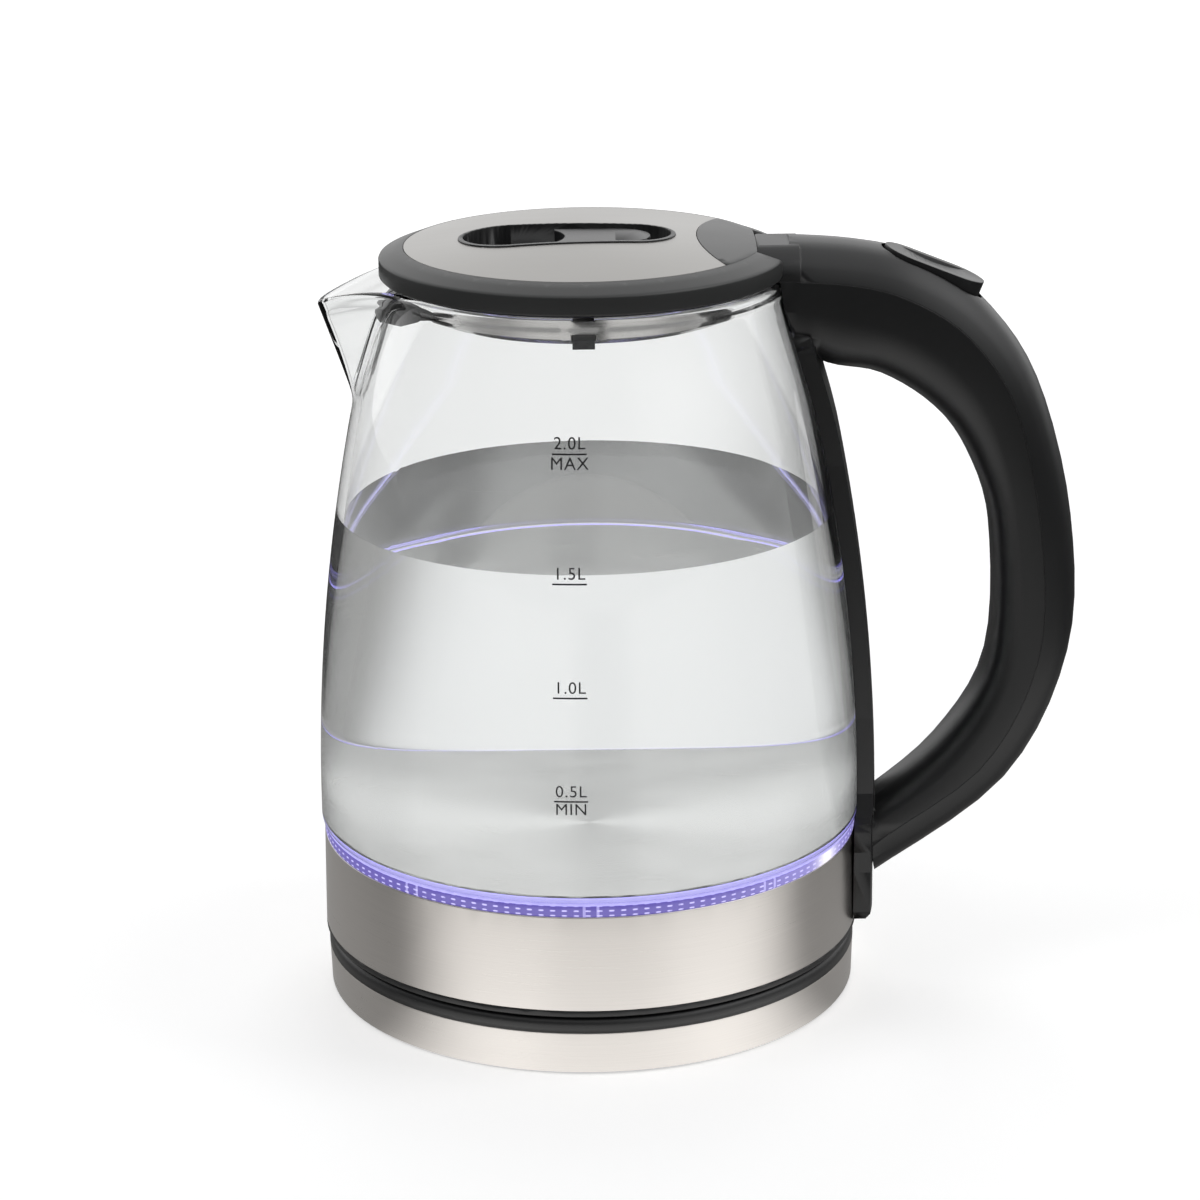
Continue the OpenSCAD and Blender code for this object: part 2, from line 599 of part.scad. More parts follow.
module hinge_block() difference() {
    intersection() {
        union() {
            barrel_shape(0);
            block([hinge_x, -barrel_hw, hinge_z - 5], [lid_r + 3, barrel_hw, cover_top]);
        }
        grip_section();
    }
    block([0, -2 * barrel_hw, cover_top], [2 * lid_r, 2 * barrel_hw, cover_top + barrel_r]);
}
// Room above the hinge for the lid's rear edge when the lid swings up
module swing_room() difference() {
    translate([hinge_x, 0, hinge_z]) rod_y(swing_r + gap, -2 * barrel_hw, 2 * barrel_hw, fine);
    block([0, -2 * barrel_hw - eps, 0], [2 * lid_r, 2 * barrel_hw + eps, cover_top - touch]);
}

module lid_hinge_pin() color(steel)
    translate([hinge_x, 0, hinge_z]) rod_y(pin_r, -hinge_span, hinge_span);
hinge_span = barrel_hw + 3.6;

// Places a piece at a station of the grip, with +Z towards the outer face, or
// towards the inner one where side is -1
function station_mid(i) = (outer_face[i] + inner_face[i]) / 2;
function station_tilt(i) = let(n = outer_face[i] - inner_face[i]) atan2(n[0], n[1]);
function half_depth(i) = norm(outer_face[i] - inner_face[i]) / 2;
module at_station(i, side) translate([station_mid(i)[0], 0, station_mid(i)[1]])
    rotate([0, station_tilt(i) + (side < 0 ? 180 : 0), 0]) children();

// Two screws join the shells: the upper one goes up into a boss of the cover,
// the lower one goes in from below into a boss of the inner shell
upper_screw = 7;
lower_screw = 37;
module screw_boss(i, side) at_station(i, side)
    rod(2.8, -half_depth(i) + shell_t + 2.2, half_depth(i) - 1.2, 32);
module screw_bore(i, side) at_station(i, side) {
    rod(1.2 + touch, -half_depth(i) - 2, half_depth(i) - 3.4);
    rod(2.6, -half_depth(i) - 8, -half_depth(i) + shell_t - 0.6);
}
module handle_screw(i, side) at_station(i, side)
    screw(-half_depth(i) + 0.4, half_depth(i) - 3.8, 2.4, 1.2, 1.3);
module handle_screws() color(steel) {
    handle_screw(upper_screw, 1);
    handle_screw(lower_screw, -1);
}
module screw_bores() {
    screw_bore(upper_screw, 1);
    screw_bore(lower_screw, -1);
}

// ---- rocker switch ----

rocker_tilt = 21.7;           // slope of the rocker's top
rocker_mid = grip_point(0.335, 1.0065);
rocker_h = 12;                // depth of the rocker in the grip
rocker_axis = rocker_mid + 6.5 * [-sin(rocker_tilt), -cos(rocker_tilt)];
module on_rocker() translate([rocker_mid[0], 0, rocker_mid[1]]) rotate([0, rocker_tilt, 0]) children();

// Long oval with round ends, x along the grip
module oval_2d(l, w) {
    r = w / 2;
    translate([-l / 2 + r, 0]) circle(r = r, $fn = round_fn);
    translate([l / 2 - r, 0]) circle(r = r, $fn = round_fn);
    translate([-l / 2 + r, -r]) square([l - w, w]);
}

module rocker_switch() color([0.1, 0.1, 0.1]) difference() {
    on_rocker() {
        difference() {
            translate([0, 0, -5]) linear_extrude(height = 5) oval_2d(rocker_l, rocker_w);
            // shallow dish in the top, and the hollow underside
            translate([0, 0, 58]) rotate([90, 0, 0]) cylinder(r = 58.8, h = 11, center = true, $fn = 192);
            translate([0, 0, -5 - eps]) linear_extrude(height = 3) oval_2d(rocker_l - 4, rocker_w - 4);
        }
        for (s = [-1, 1]) translate([0, s * (rocker_w / 2 - 2.3), -6.5]) rotate([90, 0, 0])
            cylinder(r = 3.2, h = 1.8, center = true, $fn = round_fn);
        for (s = [-1, 1]) translate([-3.2, s * (rocker_w / 2 - 2.3) - 0.9, -6.5]) cube([6.4, 1.8, 3]);
    }
    translate([rocker_axis[0], 0, rocker_axis[1]]) rod_y(pin_r + fit, -rocker_w, rocker_w);
}

// Opening in the cover for the rocker, with room for its swing
module rocker_cutter() on_rocker() translate([0, 0, -rocker_h])
    linear_extrude(height = rocker_h + 12) oval_2d(rocker_l + 2.2, rocker_w + 1);

// The switch's frame under the rocker: a box with two ears that hold its axle
module switch_module() color([0.15, 0.15, 0.15]) {
    on_rocker() difference() {
        translate([-11, -rocker_w / 2 + 3.6, -17]) cube([22, rocker_w - 7.2, 6.6]);
        translate([-12, -1.2, -19]) cube([24, 2.4, 3]);
    }
    on_rocker() translate([0, 0, -6.5]) rotate([90, 0, 0])
        cylinder(r = pin_r, h = rocker_w - 4, center = true, $fn = round_fn);
    on_rocker() translate([-2, -rocker_w / 2 + 3.7, -11]) cube([4, rocker_w - 7.4, 4.5]);
}

steam_r = 4.5;
steam_t = 0.8;
module steam_disc() color([0.7, 0.62, 0.45]) on_rocker() translate([-11 - touch - steam_t, 0, -12])
    rotate([0, 90, 0]) cylinder(r = steam_r, h = steam_t, $fn = round_fn);

// Two leads run from the control unit through the skirt, up the strap and
// through the top of the grip to the switch
lead_r = 1;
lead_y = 5.5;
lead_inset = 2.3;             // distance of the leads from the glass
lead_z = z_skirt + 8.2;
switch_end = rocker_mid + [[cos(rocker_tilt), sin(rocker_tilt)], [-sin(rocker_tilt), cos(rocker_tilt)]]
    * [-8, -17 - lead_r - 0.1];
strap_leads = concat(
    [for (z = [lead_z + 3 : 10 : z_glass - 2]) [grip_root_r + lead_inset, z]],
    [for (z = [z_glass + 6 : 12 : strap_top - 6]) [glass_r(z) + lead_inset, z]]);
arm_leads = [[neck_r + 6.6, z_neck_rim - 17], [neck_r + 10, z_neck_rim - 13.4],
    [neck_r + 18, z_neck_rim - 12.4], switch_end];
lead_path = concat([[control_r + 0.2, lead_z], [skirt_r - 1.5, lead_z], [grip_root_r + 1.4, lead_z + 0.9]],
    strap_leads, arm_leads);

// Direction of a path at one of its points, and a ring of points across it
function path_dir(p, i) = let(d = knot(p, i + 1) - knot(p, i - 1)) d / norm(d);
function across(p, i, u, v) = let(d = path_dir(p, i)) [p[i][0] + u * d[1], v, p[i][1] - u * d[0]];
module lead_run(r, y) lofted([for (i = [0 : len(lead_path) - 1])
    [for (a = [0 : 45 : 315]) across(lead_path, i, r * cos(a), y + r * sin(a))]]);
module switch_leads() color([0.6, 0.15, 0.1]) for (s = [-1, 1]) lead_run(lead_r, s * lead_y);

lead_hw = lead_y + lead_r + 0.4;
module lead_hole() block([liner_r - 4, -lead_hw, lead_z - lead_r - 0.6],
    [skirt_r + eps, lead_hw, lead_z + lead_r + 0.8]);
// Groove for the leads in the strap, open towards the glass
module lead_channel() {
    p = concat(strap_leads, [arm_leads[0], arm_leads[1]]);
    d = lead_r + 0.4;
    e = lead_inset + 0.2;
    lofted([for (i = [0 : len(p) - 1])
        [across(p, i, -e, -lead_hw), across(p, i, d, -lead_hw), across(p, i, d, lead_hw),
        across(p, i, -e, lead_hw)]]);
    block([skirt_r - 2, -lead_hw - 0.3, lead_z - lead_r - 0.5],
        [grip_root_r + lead_inset + d + 0.2, lead_hw + 0.3, lead_z + 3.1]);
}

// ---- lid ----

web_t = 2;                    // floor of the lid
neck_wall_r = bead_r - 3;     // outside of the wall that carries the gasket
neck_wall_h = 2.6;
recess_mid = -3.2;            // middle of the recess along X
cut_r = 75;                   // radius of the plate's rear edge
cut_x = 32.1;                 // where that edge crosses the middle
slide_x = 6;                  // place of the slide's stem
floor_z = z_lid + web_t + touch;
cup_wall = 1.2;

function dome_z(r) = z_lid_edge + lid_crown * (1 - r * r / (lid_plate_r * lid_plate_r));
module dome(off, r_out) turned(concat([[0, floor_z]], [[r_out, floor_z]],
    [for (i = [12 : -1 : 0]) let(r = r_out * i / 12) [r, dome_z(r) + off]]));

// Outline of the recess: two circles of unlike size and their tangents
module recess_2d(off) {
    r1 = recess_wide_r + off;
    r2 = recess_narrow_r + off;
    x1 = recess_mid - recess_half_l;
    x2 = recess_mid + recess_half_l;
    sb = (r1 - r2) / (x2 - x1);
    cb = sqrt(1 - sb * sb);
    translate([x1, 0]) circle(r = r1, $fn = round_fn);
    translate([x2, 0]) circle(r = r2, $fn = round_fn);
    polygon([[x1 + r1 * sb, -r1 * cb], [x2 + r2 * sb, -r2 * cb], [x2 + r2 * sb, r2 * cb],
        [x1 + r1 * sb, r1 * cb]]);
}
module recess_cut(off, z0) translate([0, 0, z0]) linear_extrude(height = 40) recess_2d(off);
module rear_disc(r) translate([cut_x + cut_r, 0, z_lid - 1]) cylinder(r = r, h = 40, $fn = 192);

// Room for the hinge barrel and the handle in everything that the lid carries
module hinge_clearance() {
    block([hinge_x - swing_r, -barrel_hw - 0.4, z_lid - lid_r],
        [hinge_x + lid_r, barrel_hw + 0.4, hinge_z]);
    block([hinge_x, -barrel_hw - 0.4, hinge_z - eps], [hinge_x + lid_r, barrel_hw + 0.4, z_lid + lid_r]);
    translate([hinge_x, 0, hinge_z]) rod_y(swing_r, -barrel_hw - 0.4, barrel_hw + 0.4, fine);
    // the ears' lower rear corner swings past the glass rim
    difference() {
        block([hinge_x, -40, z_lid - 1], [hinge_x + 20, 40, hinge_z]);
        translate([hinge_x, 0, hinge_z]) rod_y(hinge_z - z_lid, -41, 41);
    }
}

module lid_rim() color(black) difference() {
    union() {
        turned([[0, z_lid], [neck_wall_r - 3.7, z_lid], [neck_wall_r - 3.7, z_lid - neck_wall_h],
            [neck_wall_r, z_lid - neck_wall_h], [neck_wall_r, z_lid], [lid_r - 0.6, z_lid],
            [lid_r, z_lid + 0.6], [lid_r, z_lid + lid_h * 0.62], [lid_r - 0.25, z_lid + lid_h * 0.68],
            [lid_r - 0.9, z_lid + lid_h * 0.725], [lid_plate_r + 0.3, z_lid_edge], [lid_plate_r + 0.3, z_lid_edge - 0.9],
            [lid_plate_r - 2.2, z_lid_edge - 0.9], [lid_plate_r - 2.2, z_lid + web_t],
            [0, z_lid + web_t]]);
        intersection() {
            dome(0.1, lid_plate_r + 0.2);
            rear_disc(cut_r - 0.2);
        }
        for (a = post_angles) rotate([0, 0, a]) translate([post_r, 0, 0])
            rod(3, z_cup + cup_t + touch, z_lid + web_t / 2);
        block([spring_x1, -4, z_cup + 3], [spring_x1 + 2, 4, z_lid + web_t / 2]);
    }
    hinge_clearance();
    recess_cut(0.15, floor_z);
    stem_slot(1);
    translate([hinge_x, 0, hinge_z]) rod_y(pin_r + fit, -hinge_span - fit, hinge_span + fit);
    for (a = post_angles) rotate([0, 0, a]) translate([post_r, 0, 0])
        rod(1.2 + touch, z_cup, z_lid - 2);
}

module lid_steel_plate() color(steel) difference() {
    turned(concat([for (i = [0 : 12]) let(r = lid_plate_r * i / 12) [r, dome_z(r) - plate_skin]],
        [for (i = [12 : -1 : 0]) let(r = lid_plate_r * i / 12) [r, dome_z(r)]]));
    recess_cut(0.15, z_lid);
    rear_disc(cut_r);
}
plate_skin = 0.8;

module recess_cup() color(black) difference() {
    intersection() {
        recess_cut(0.1, floor_z);
        dome(0.35, lid_plate_r - 4);
    }
    recess_cut(-cup_wall, floor_z + cup_wall);
    stem_slot(1);
}

// The slot that the slide's stem runs in
stem_l = 6;
stem_w = 5;
module stem_slot(play) block([slide_x - stem_l / 2 - play, -stem_w / 2 - play / 2, z_lid - 20],
    [slide_x + stem_l / 2 + paddle_travel + play, stem_w / 2 + play / 2, floor_z + cup_wall + 1]);

z_cup = z_lid - inner_cup_h;
cup_t = 0.8;
post_r = 34;
post_angles = [0, 135, 225];
module lid_inner_cup() color(steel) difference() {
    turned([[0, z_cup], [inner_cup_r - 1.5, z_cup], [inner_cup_r, z_cup + 1.5],
        [inner_cup_r, z_lid - touch], [inner_cup_r - cup_t, z_lid - touch],
        [inner_cup_r - cup_t, z_cup + 1.8], [inner_cup_r - 1.8, z_cup + cup_t], [0, z_cup + cup_t]]);
    block([-bolt_hw - 0.3, -inner_cup_r - eps, z_bolt - 0.3],
        [bolt_hw + 0.3, inner_cup_r + eps, z_bolt + bolt_t + 0.3]);
    for (a = post_angles) rotate([0, 0, a]) translate([post_r, 0, 0]) rod(1.3, z_cup - 1, z_cup + 2);
}

module lid_screws() color(steel) for (a = post_angles) rotate([0, 0, a])
    translate([post_r, 0, 0]) screw(z_cup - 1.2, z_lid - 3, 2.6, 1.2, 1.2);

module lid_gasket() color([0.55, 0.5, 0.75]) difference() {
    turned([[neck_wall_r + touch, z_lid - neck_wall_h + 0.2], [bead_r - 1.6, z_lid - neck_wall_h + 0.2],
        [bead_r - 0.6, z_lid - 1.9], [bead_r - 0.6, z_lid - 1.4], [bead_r - 1.6, z_lid - 0.5],
        [neck_wall_r + touch, z_lid - 0.5]]);
    hinge_clearance();
}

strainer_angle = 13;
module spout_strainer() color([0.2, 0.2, 0.21]) difference() {
    intersection() {
        turned([[inner_cup_r + touch, z_lid - 3.2], [inner_cup_r + touch, z_lid - 6.4],
            [inner_cup_r + 5.4, z_lid - 11.6], [neck_wall_r + 2, z_lid - 12.6],
            [neck_wall_r + 7.4, z_lid - 11], [neck_wall_r + 8.7, z_lid - 9.4],
            [neck_wall_r + 7.8, z_lid - 7.8], [neck_wall_r + 1, z_lid - 4]]);
        rotate([0, 0, 180 - strainer_angle]) block([0, 0, 0], [neck_r, neck_r, z_lid]);
        rotate([0, 0, 90 + strainer_angle]) block([0, 0, 0], [neck_r, neck_r, z_lid]);
    }
    for (a = [-4, 4]) rotate([0, 0, 180 + a])
        block([neck_wall_r + 1.6, -0.8, 0], [neck_wall_r + 6.4, 0.8, z_lid]);
}

// ---- lid release ----

slide_end = recess_mid + recess_half_l + recess_narrow_r - cup_wall - paddle_travel - 0.9;
slide_r = recess_narrow_r - cup_wall - 1;
slide_x0 = slide_end - 27;
z_slide = floor_z + cup_wall + gap;
slide_top = dome_z(0) - 0.9;
module release_slide() color([0.08, 0.08, 0.09]) {
    difference() {
        union() {
            translate([slide_end - slide_r, 0, 0]) rod(slide_r, z_slide, slide_top);
            block([slide_x0, -slide_r, z_slide], [slide_end - slide_r, slide_r, slide_top]);
        }
        translate([slide_x0 - 10, 0, 0]) rod(13, z_slide - eps, slide_top + eps);
    }
    block([slide_x - stem_l / 2, -stem_w / 2, z_carriage], [slide_x + stem_l / 2, stem_w / 2, z_slide + 1]);
}

bolt_hw = 3;
bolt_t = 2.6;
z_bolt = z_cup + cup_t + 0.35;
z_carriage = z_bolt + bolt_t + 0.4;
carriage_t = 2;
pin_y = 11;
module cam_slot(s) hull_slot([0, s * pin_y], [-paddle_travel, s * (pin_y - paddle_travel)], 1.55);
// A slot between two points
module hull_slot(a, b, r) {
    translate(a) circle(r = r, $fn = round_fn);
    translate(b) circle(r = r, $fn = round_fn);
    translate(a) rotate(atan2(b[1] - a[1], b[0] - a[0])) translate([0, -r]) square([norm(b - a), 2 * r]);
}
module release_carriage() color([0.85, 0.85, 0.82]) difference() {
    block([-paddle_travel - 4, -pin_y - 4, z_carriage], [slide_x + 5, pin_y + 4, z_carriage + carriage_t]);
    translate([0, 0, z_carriage - eps]) linear_extrude(height = carriage_t + 2 * eps) {
        cam_slot(1);
        cam_slot(-1);
    }
    block([slide_x - stem_l / 2 - touch, -stem_w / 2 - touch, z_carriage - eps],
        [slide_x + stem_l / 2 + touch, stem_w / 2 + touch, z_carriage + carriage_t + eps]);
}

bolt_tip = bead_r - 0.4;
module latch_bolt(s) scale_y(s) {
    block([-bolt_hw, pin_y - 4, z_bolt], [bolt_hw, bolt_tip - 0.6, z_bolt + bolt_t]);
    translate([0, pin_y, 0]) rod(1.45, z_bolt + bolt_t, z_carriage + carriage_t - 0.2);
}
module scale_y(s) if (s > 0) children(); else mirror([0, 1, 0]) children();
module latch_bolt_near() color([0.8, 0.8, 0.78]) latch_bolt(-1);
module latch_bolt_far() color([0.8, 0.8, 0.78]) latch_bolt(1);

spring_x0 = slide_x + 5 + 0.1;
spring_x1 = spring_x0 + 11;
spring_wire = 0.4;
spring_coil_r = 2.2;
spring_turns = 6;
module latch_spring() color(steel) {
    n = spring_turns * 12;
    lofted([for (i = [0 : n]) let(a = i * 30, rr = spring_coil_r,
        x = spring_x0 + spring_wire + (spring_x1 - spring_x0 - 2 * spring_wire - 0.1) * i / n)
        [for (b = [0 : 60 : 300]) let(q = rr + spring_wire * cos(b))
            [x + spring_wire * sin(b), q * cos(a), z_carriage + carriage_t / 2 + q * sin(a)]]]);
}

base_top_shell();
base_steel_band();
base_bottom_cover();
connector_tower();
contact_rings();
cord_grommet();
base_screws();
rubber_feet();
earth_pin();
jug_bottom_cover();
skirt_band();
skirt_liner();
light_ring();
led_board();
leds();
heating_plate();
plate_seal();
heat_spreader();
heating_element();
element_terminals();
control_unit();
jug_socket();
boil_dry_discs();
bottom_screws();
glass_jug();
handle_inner_shell();
handle_outer_cover();
handle_screws();
switch_module();
steam_disc();
switch_leads();
rocker_switch();
lid_hinge_pin();
lid_rim();
lid_steel_plate();
recess_cup();
lid_inner_cup();
lid_gasket();
spout_strainer();
lid_screws();
release_slide();
release_carriage();
latch_bolt_near();
latch_bolt_far();
latch_spring();
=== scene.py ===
# %% [markdown]
# # An electric kettle with a glass jug
# The kettle is a glass jug on a heater base clad in brushed steel. The jug
# stands on a flat power base, a black grip reaches over it, and a ring of
# clear plastic under the glass glows blue-violet. The pieces come from a
# imported CAD model, the frame. This lesson dresses them: each one is given
# the finish of the real piece, and the smooth or cut surfaces that a
# faceted solid can't show are worked out again as finer meshes.
#
# The first cell loads the frame.

# %% Load the frame
import json
import math

import bmesh
import bpy
import numpy as np
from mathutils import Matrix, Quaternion, Vector


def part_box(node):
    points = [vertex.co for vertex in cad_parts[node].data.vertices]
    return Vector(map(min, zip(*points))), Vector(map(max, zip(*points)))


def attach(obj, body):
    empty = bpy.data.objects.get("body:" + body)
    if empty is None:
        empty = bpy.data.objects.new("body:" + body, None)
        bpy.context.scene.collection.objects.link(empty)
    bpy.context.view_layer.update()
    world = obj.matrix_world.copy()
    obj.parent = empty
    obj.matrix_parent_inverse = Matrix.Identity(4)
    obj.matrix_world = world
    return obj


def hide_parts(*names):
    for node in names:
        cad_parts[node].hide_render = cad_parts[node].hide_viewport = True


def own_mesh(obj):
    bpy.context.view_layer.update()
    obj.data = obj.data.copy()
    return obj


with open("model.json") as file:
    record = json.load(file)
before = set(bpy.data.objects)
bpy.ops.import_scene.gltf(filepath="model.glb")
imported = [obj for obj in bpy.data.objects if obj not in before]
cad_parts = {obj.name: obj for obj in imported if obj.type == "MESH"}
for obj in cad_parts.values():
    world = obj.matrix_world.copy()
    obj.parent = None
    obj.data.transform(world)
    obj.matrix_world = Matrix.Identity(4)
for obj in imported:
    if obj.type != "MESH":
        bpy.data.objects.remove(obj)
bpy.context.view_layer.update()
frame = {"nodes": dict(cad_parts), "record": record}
MM = 0.001               # one millimetre in the frame's metres

# %% [markdown]
# ## Writing shaders as formulas
# A finish is a graph of nodes. Built node by node it is hard to read, so
# two small classes do the wiring. `Wire` wraps one output, and arithmetic
# on it adds Math nodes, so a mask reads like the formula it is.

# %% A wire
class Wire:
    """An output socket. A sum, product or comparison of wires adds the Math node that works it out."""

    def __init__(self, graph, socket):
        self.graph, self.socket = graph, socket

    def math(self, operation, *others):
        return self.graph.node("ShaderNodeMath", {"operation": operation}, dict(enumerate((self, *others))))

    def other(self, name):
        """Another output of the same node."""
        return Wire(self.graph, self.socket.node.outputs[name])

    def __add__(self, value):
        return self.math("ADD", value)

    def __sub__(self, value):
        return self.math("SUBTRACT", value)

    def __rsub__(self, value):
        return self.math("MULTIPLY", -1.0) + value

    def __neg__(self):
        return self.math("MULTIPLY", -1.0)

    def __mul__(self, value):
        return self.math("MULTIPLY", value)

    def __truediv__(self, value):
        return self.math("DIVIDE", value)

    def __gt__(self, value):
        return self.math("GREATER_THAN", value)

    def __lt__(self, value):
        return self.math("LESS_THAN", value)

    __radd__ = __add__
    __rmul__ = __mul__


print("wire class ready:", Wire.__name__)

# %% [markdown]
# `Graph` adds every other kind of node: its settings first, then its
# sockets. A socket takes a wire or a plain value.

# %% A graph
class Graph:
    """The nodes of one material, world or lamp."""

    def __init__(self, owner):
        owner.use_nodes = True
        self.tree = owner.node_tree
        self.tree.nodes.clear()

    def node(self, kind, settings=None, sockets=None, out=0):
        """Adds a node: first its settings, then the values or links of its sockets."""
        made = self.tree.nodes.new(kind)
        for name, value in (settings or {}).items():
            if name == "stops":
                self.set_stops(made.color_ramp, value)
            else:
                setattr(made, name, value)
        for name, value in (sockets or {}).items():
            if isinstance(value, Wire):
                self.tree.links.new(value.socket, made.inputs[name])
            else:
                made.inputs[name].default_value = value
        return Wire(self, made.outputs[out]) if len(made.outputs) else made

    def set_stops(self, ramp, stops):
        """Gives a colour ramp its (place, colour) stops."""
        while len(ramp.elements) < len(stops):
            ramp.elements.new(0.5)
        for element, (place, colour) in zip(ramp.elements, stops):
            element.position = place
            element.color = colour

    def place(self):
        """Object coordinates, in metres in the kettle's own frame."""
        return self.node("ShaderNodeTexCoord", out="Object")

    def stretched(self, vector, factors):
        """A vector times one factor for each axis."""
        return self.node("ShaderNodeVectorMath", {"operation": "MULTIPLY"}, {0: vector, 1: factors})

    def noise(self, vector, scale=1.0, detail=2.0, roughness=0.5):
        """Noise from 0 to 1 about a mean of 0.5."""
        return self.node("ShaderNodeTexNoise", {}, {
            "Vector": vector, "Scale": scale, "Detail": detail, "Roughness": roughness})

    def mixed(self, factor, first, second):
        """A colour between two colours."""
        return self.node("ShaderNodeMix", {"data_type": "RGBA"}, {0: factor, 6: first, 7: second}, out=2)

    def rounded(self, radius):
        """The normal of a surface whose edges are rounded off to a radius."""
        return self.node("ShaderNodeBevel", {"samples": 4}, {"Radius": radius})

    def bump(self, height, distance, strength=1.0, normal=None):
        """The normal of a surface with small heights on it, over another normal if there is one."""
        sockets = {"Height": height, "Distance": distance, "Strength": strength}
        if normal is not None:
            sockets["Normal"] = normal
        return self.node("ShaderNodeBump", {}, sockets)

    def close(self, shader):
        """Ends a material with its shader."""
        self.node("ShaderNodeOutputMaterial", {}, {"Surface": shader})


def rgb(red, green, blue):
    """A colour socket's four numbers from linear red, green and blue."""
    return (red, green, blue, 1.0)


def scaled(colour, factor):
    """A darker or lighter shade of a colour."""
    return rgb(*[min(1.0, channel * factor) for channel in colour])


def new_finish(name):
    """A new material and the graph of its nodes."""
    material = bpy.data.materials.new(name)
    return material, Graph(material)


print("graph class ready:", Graph.__name__)

# %% [markdown]
# ## The camera
# A long lens a metre away keeps the kettle's upright lines nearly
# parallel, and the camera looks down by 17.6 degrees, so that the top of
# the lid and the surface of the water both show. It is turned a little
# about its own axis, because the kettle stands with a slight lean in the
# frame. The small shift only centres the kettle.

# %% Place the camera
CAMERA_PLACE = (0.0, -1.0080, 0.4340)
LOOK_DOWN = math.radians(17.6)
LEAN = math.radians(0.748)
SENSOR_MM, LENS_MM = 36.0, 109.2
SHIFT = (0.0108, 0.0017)

camera_data = bpy.data.cameras.new("camera")
camera_data.sensor_width = SENSOR_MM
camera_data.lens = LENS_MM
camera_data.shift_x, camera_data.shift_y = SHIFT
camera = bpy.data.objects.new("camera", camera_data)
camera.location = CAMERA_PLACE
camera.rotation_mode = "QUATERNION"
camera.rotation_quaternion = (Quaternion((1, 0, 0), math.pi / 2 - LOOK_DOWN)
                              @ Quaternion((0, 0, 1), -LEAN))
bpy.context.scene.collection.objects.link(camera)
bpy.context.scene.camera = camera
print("camera", tuple(round(c, 3) for c in camera.location), camera_data.lens, "mm")

# %% [markdown]
# ## The studio
# Glass and steel show what stands around them, so the studio matters as
# much as the finishes. It answers each kind of ray in its own way. To the
# eye, floor and world are white. Rays that glass bends find the white
# only behind the kettle and before it, and grey at the sides: glass bends
# light most at its edges, so this draws them dark. Rays that were
# mirrored inside the jug, as by the heating plate, find a plain, even
# room. Rays mirrored by outer surfaces find a bright pool on the floor
# before the kettle, which the upright steel shows, a pale wall behind for
# the lid, and soft lights overhead and to the right. All others get an
# even, plain light. The studio stands still when the camera moves, so the
# glass looks greyer in slanting views.
#
# Each light fades between two values of a distance or of a direction.
# The table holds those pairs.

# %% Lights and fades
AMBIENT = 0.36
FLOOR_WHITE = 0.50       # glow that lifts the lit floor to white
FAR_GLOW = 0.40          # added to it far out, where the lamps fade
GLASS_WHITE = 0.88       # what bent rays meet straight behind the kettle or before it
SIDE_GREY = 0.40         # at its sides
# painted shadow: close to the kettle, bent rays meet this flat grey in place of the lit floor
NEAR_SHADOW_GREY = 0.24         # and on the floor close to it
GLASS_DIM = 0.12         # by which the floor glows less for bent rays
INSIDE_GREY = 0.46       # what rays meet that were mirrored inside the jug
CUP_LIGHT = 0.40         # added to it on the floor before the kettle
STRIPE_DEPTH = 1.9       # by which the stripe in its middle is darker
CEILING_DIM = 0.60       # by which their room is darker overhead
POOL_LIGHT = 1.08
POOL_DIP = 0.10          # by which the pool is darker in its middle
POOL_REST = 0.24         # beside the wedge
FLOOR_REST = 0.06        # beyond the pool
WALL_LIGHT, OVERHEAD_LIGHT, BESIDE_LIGHT = 1.20, 0.95, 1.80
MIRROR_REST = 0.08       # what mirrored rays meet where there is no light
FADE = {
    "pool": (0.24, 0.38), "near": (0.13, 0.20), "far": (0.6, 1.8),      # metres from the axis
    "wedge": (0.62, 1.14), "dip": (0.90, 1.0), "side": (0.88, 0.985), "front": (-0.30, 0.40),
    "cup": (0.30, 0.85), "stripe": (0.965, 0.999),
    "screen": (0.62, 0.94), "wall": (-0.10, 0.75), "wall_top": (0.45, 0.75),
    "overhead": (0.40, 0.72), "room": (-0.20, 0.85), "ceiling": (0.50, 0.90),
    "right": (0.25, 0.70), "raised": (0.05, 0.45), "before": (-0.2, 0.5),
}


def ray_kinds(graph):
    """Four wires, each 1 for one kind of ray: straight from the camera, bent by glass, mirrored
    inside the jug, and mirrored by gloss."""
    path = graph.node("ShaderNodeLightPath", out="Is Camera Ray")
    through = path.other("Is Transmission Ray")
    mirrored = path.other("Is Glossy Ray") * (1.0 - through)
    inside = through * (path.other("Glossy Depth") > 0.5)
    return path, through - inside, inside, mirrored


def soft_step(wire, low, high):
    """0 below the low value, 1 above the high one, and smooth between."""
    return wire.graph.node("ShaderNodeMapRange", {"interpolation_type": "SMOOTHSTEP"}, {
        "Value": wire, "From Min": low, "From Max": high})


print("fades:", len(FADE))

# %% [markdown]
# ### The floor
# The floor is matt and keeps the kettle's shadow. A small glow lifts it
# to white around that. Close to the kettle, rays bent by the glass meet a
# painted shadow instead: a flat grey in place of the lit floor. Mirrored
# rays meet a wedge of light on the floor, turned a little to one side, and
# its sides lean outwards with the distance.

# %% Lay the floor
FLOOR_SIZE = 8.0
POOL_TURN = math.radians(6)
WEDGE_LEAN = 2.4


def bearing(graph):
    """Distance of a floor point from the axis, and how far it lies behind the kettle:
    1 straight behind, -1 straight in front."""
    flat = graph.stretched(graph.place(), (1, 1, 0))
    reach = graph.node("ShaderNodeVectorMath", {"operation": "LENGTH"}, {0: flat}, out="Value")
    back = (-math.sin(POOL_TURN), math.cos(POOL_TURN), 0.0)
    behind = graph.node("ShaderNodeVectorMath", {"operation": "DOT_PRODUCT"}, {0: flat, 1: back}, out="Value")
    return reach, behind / reach


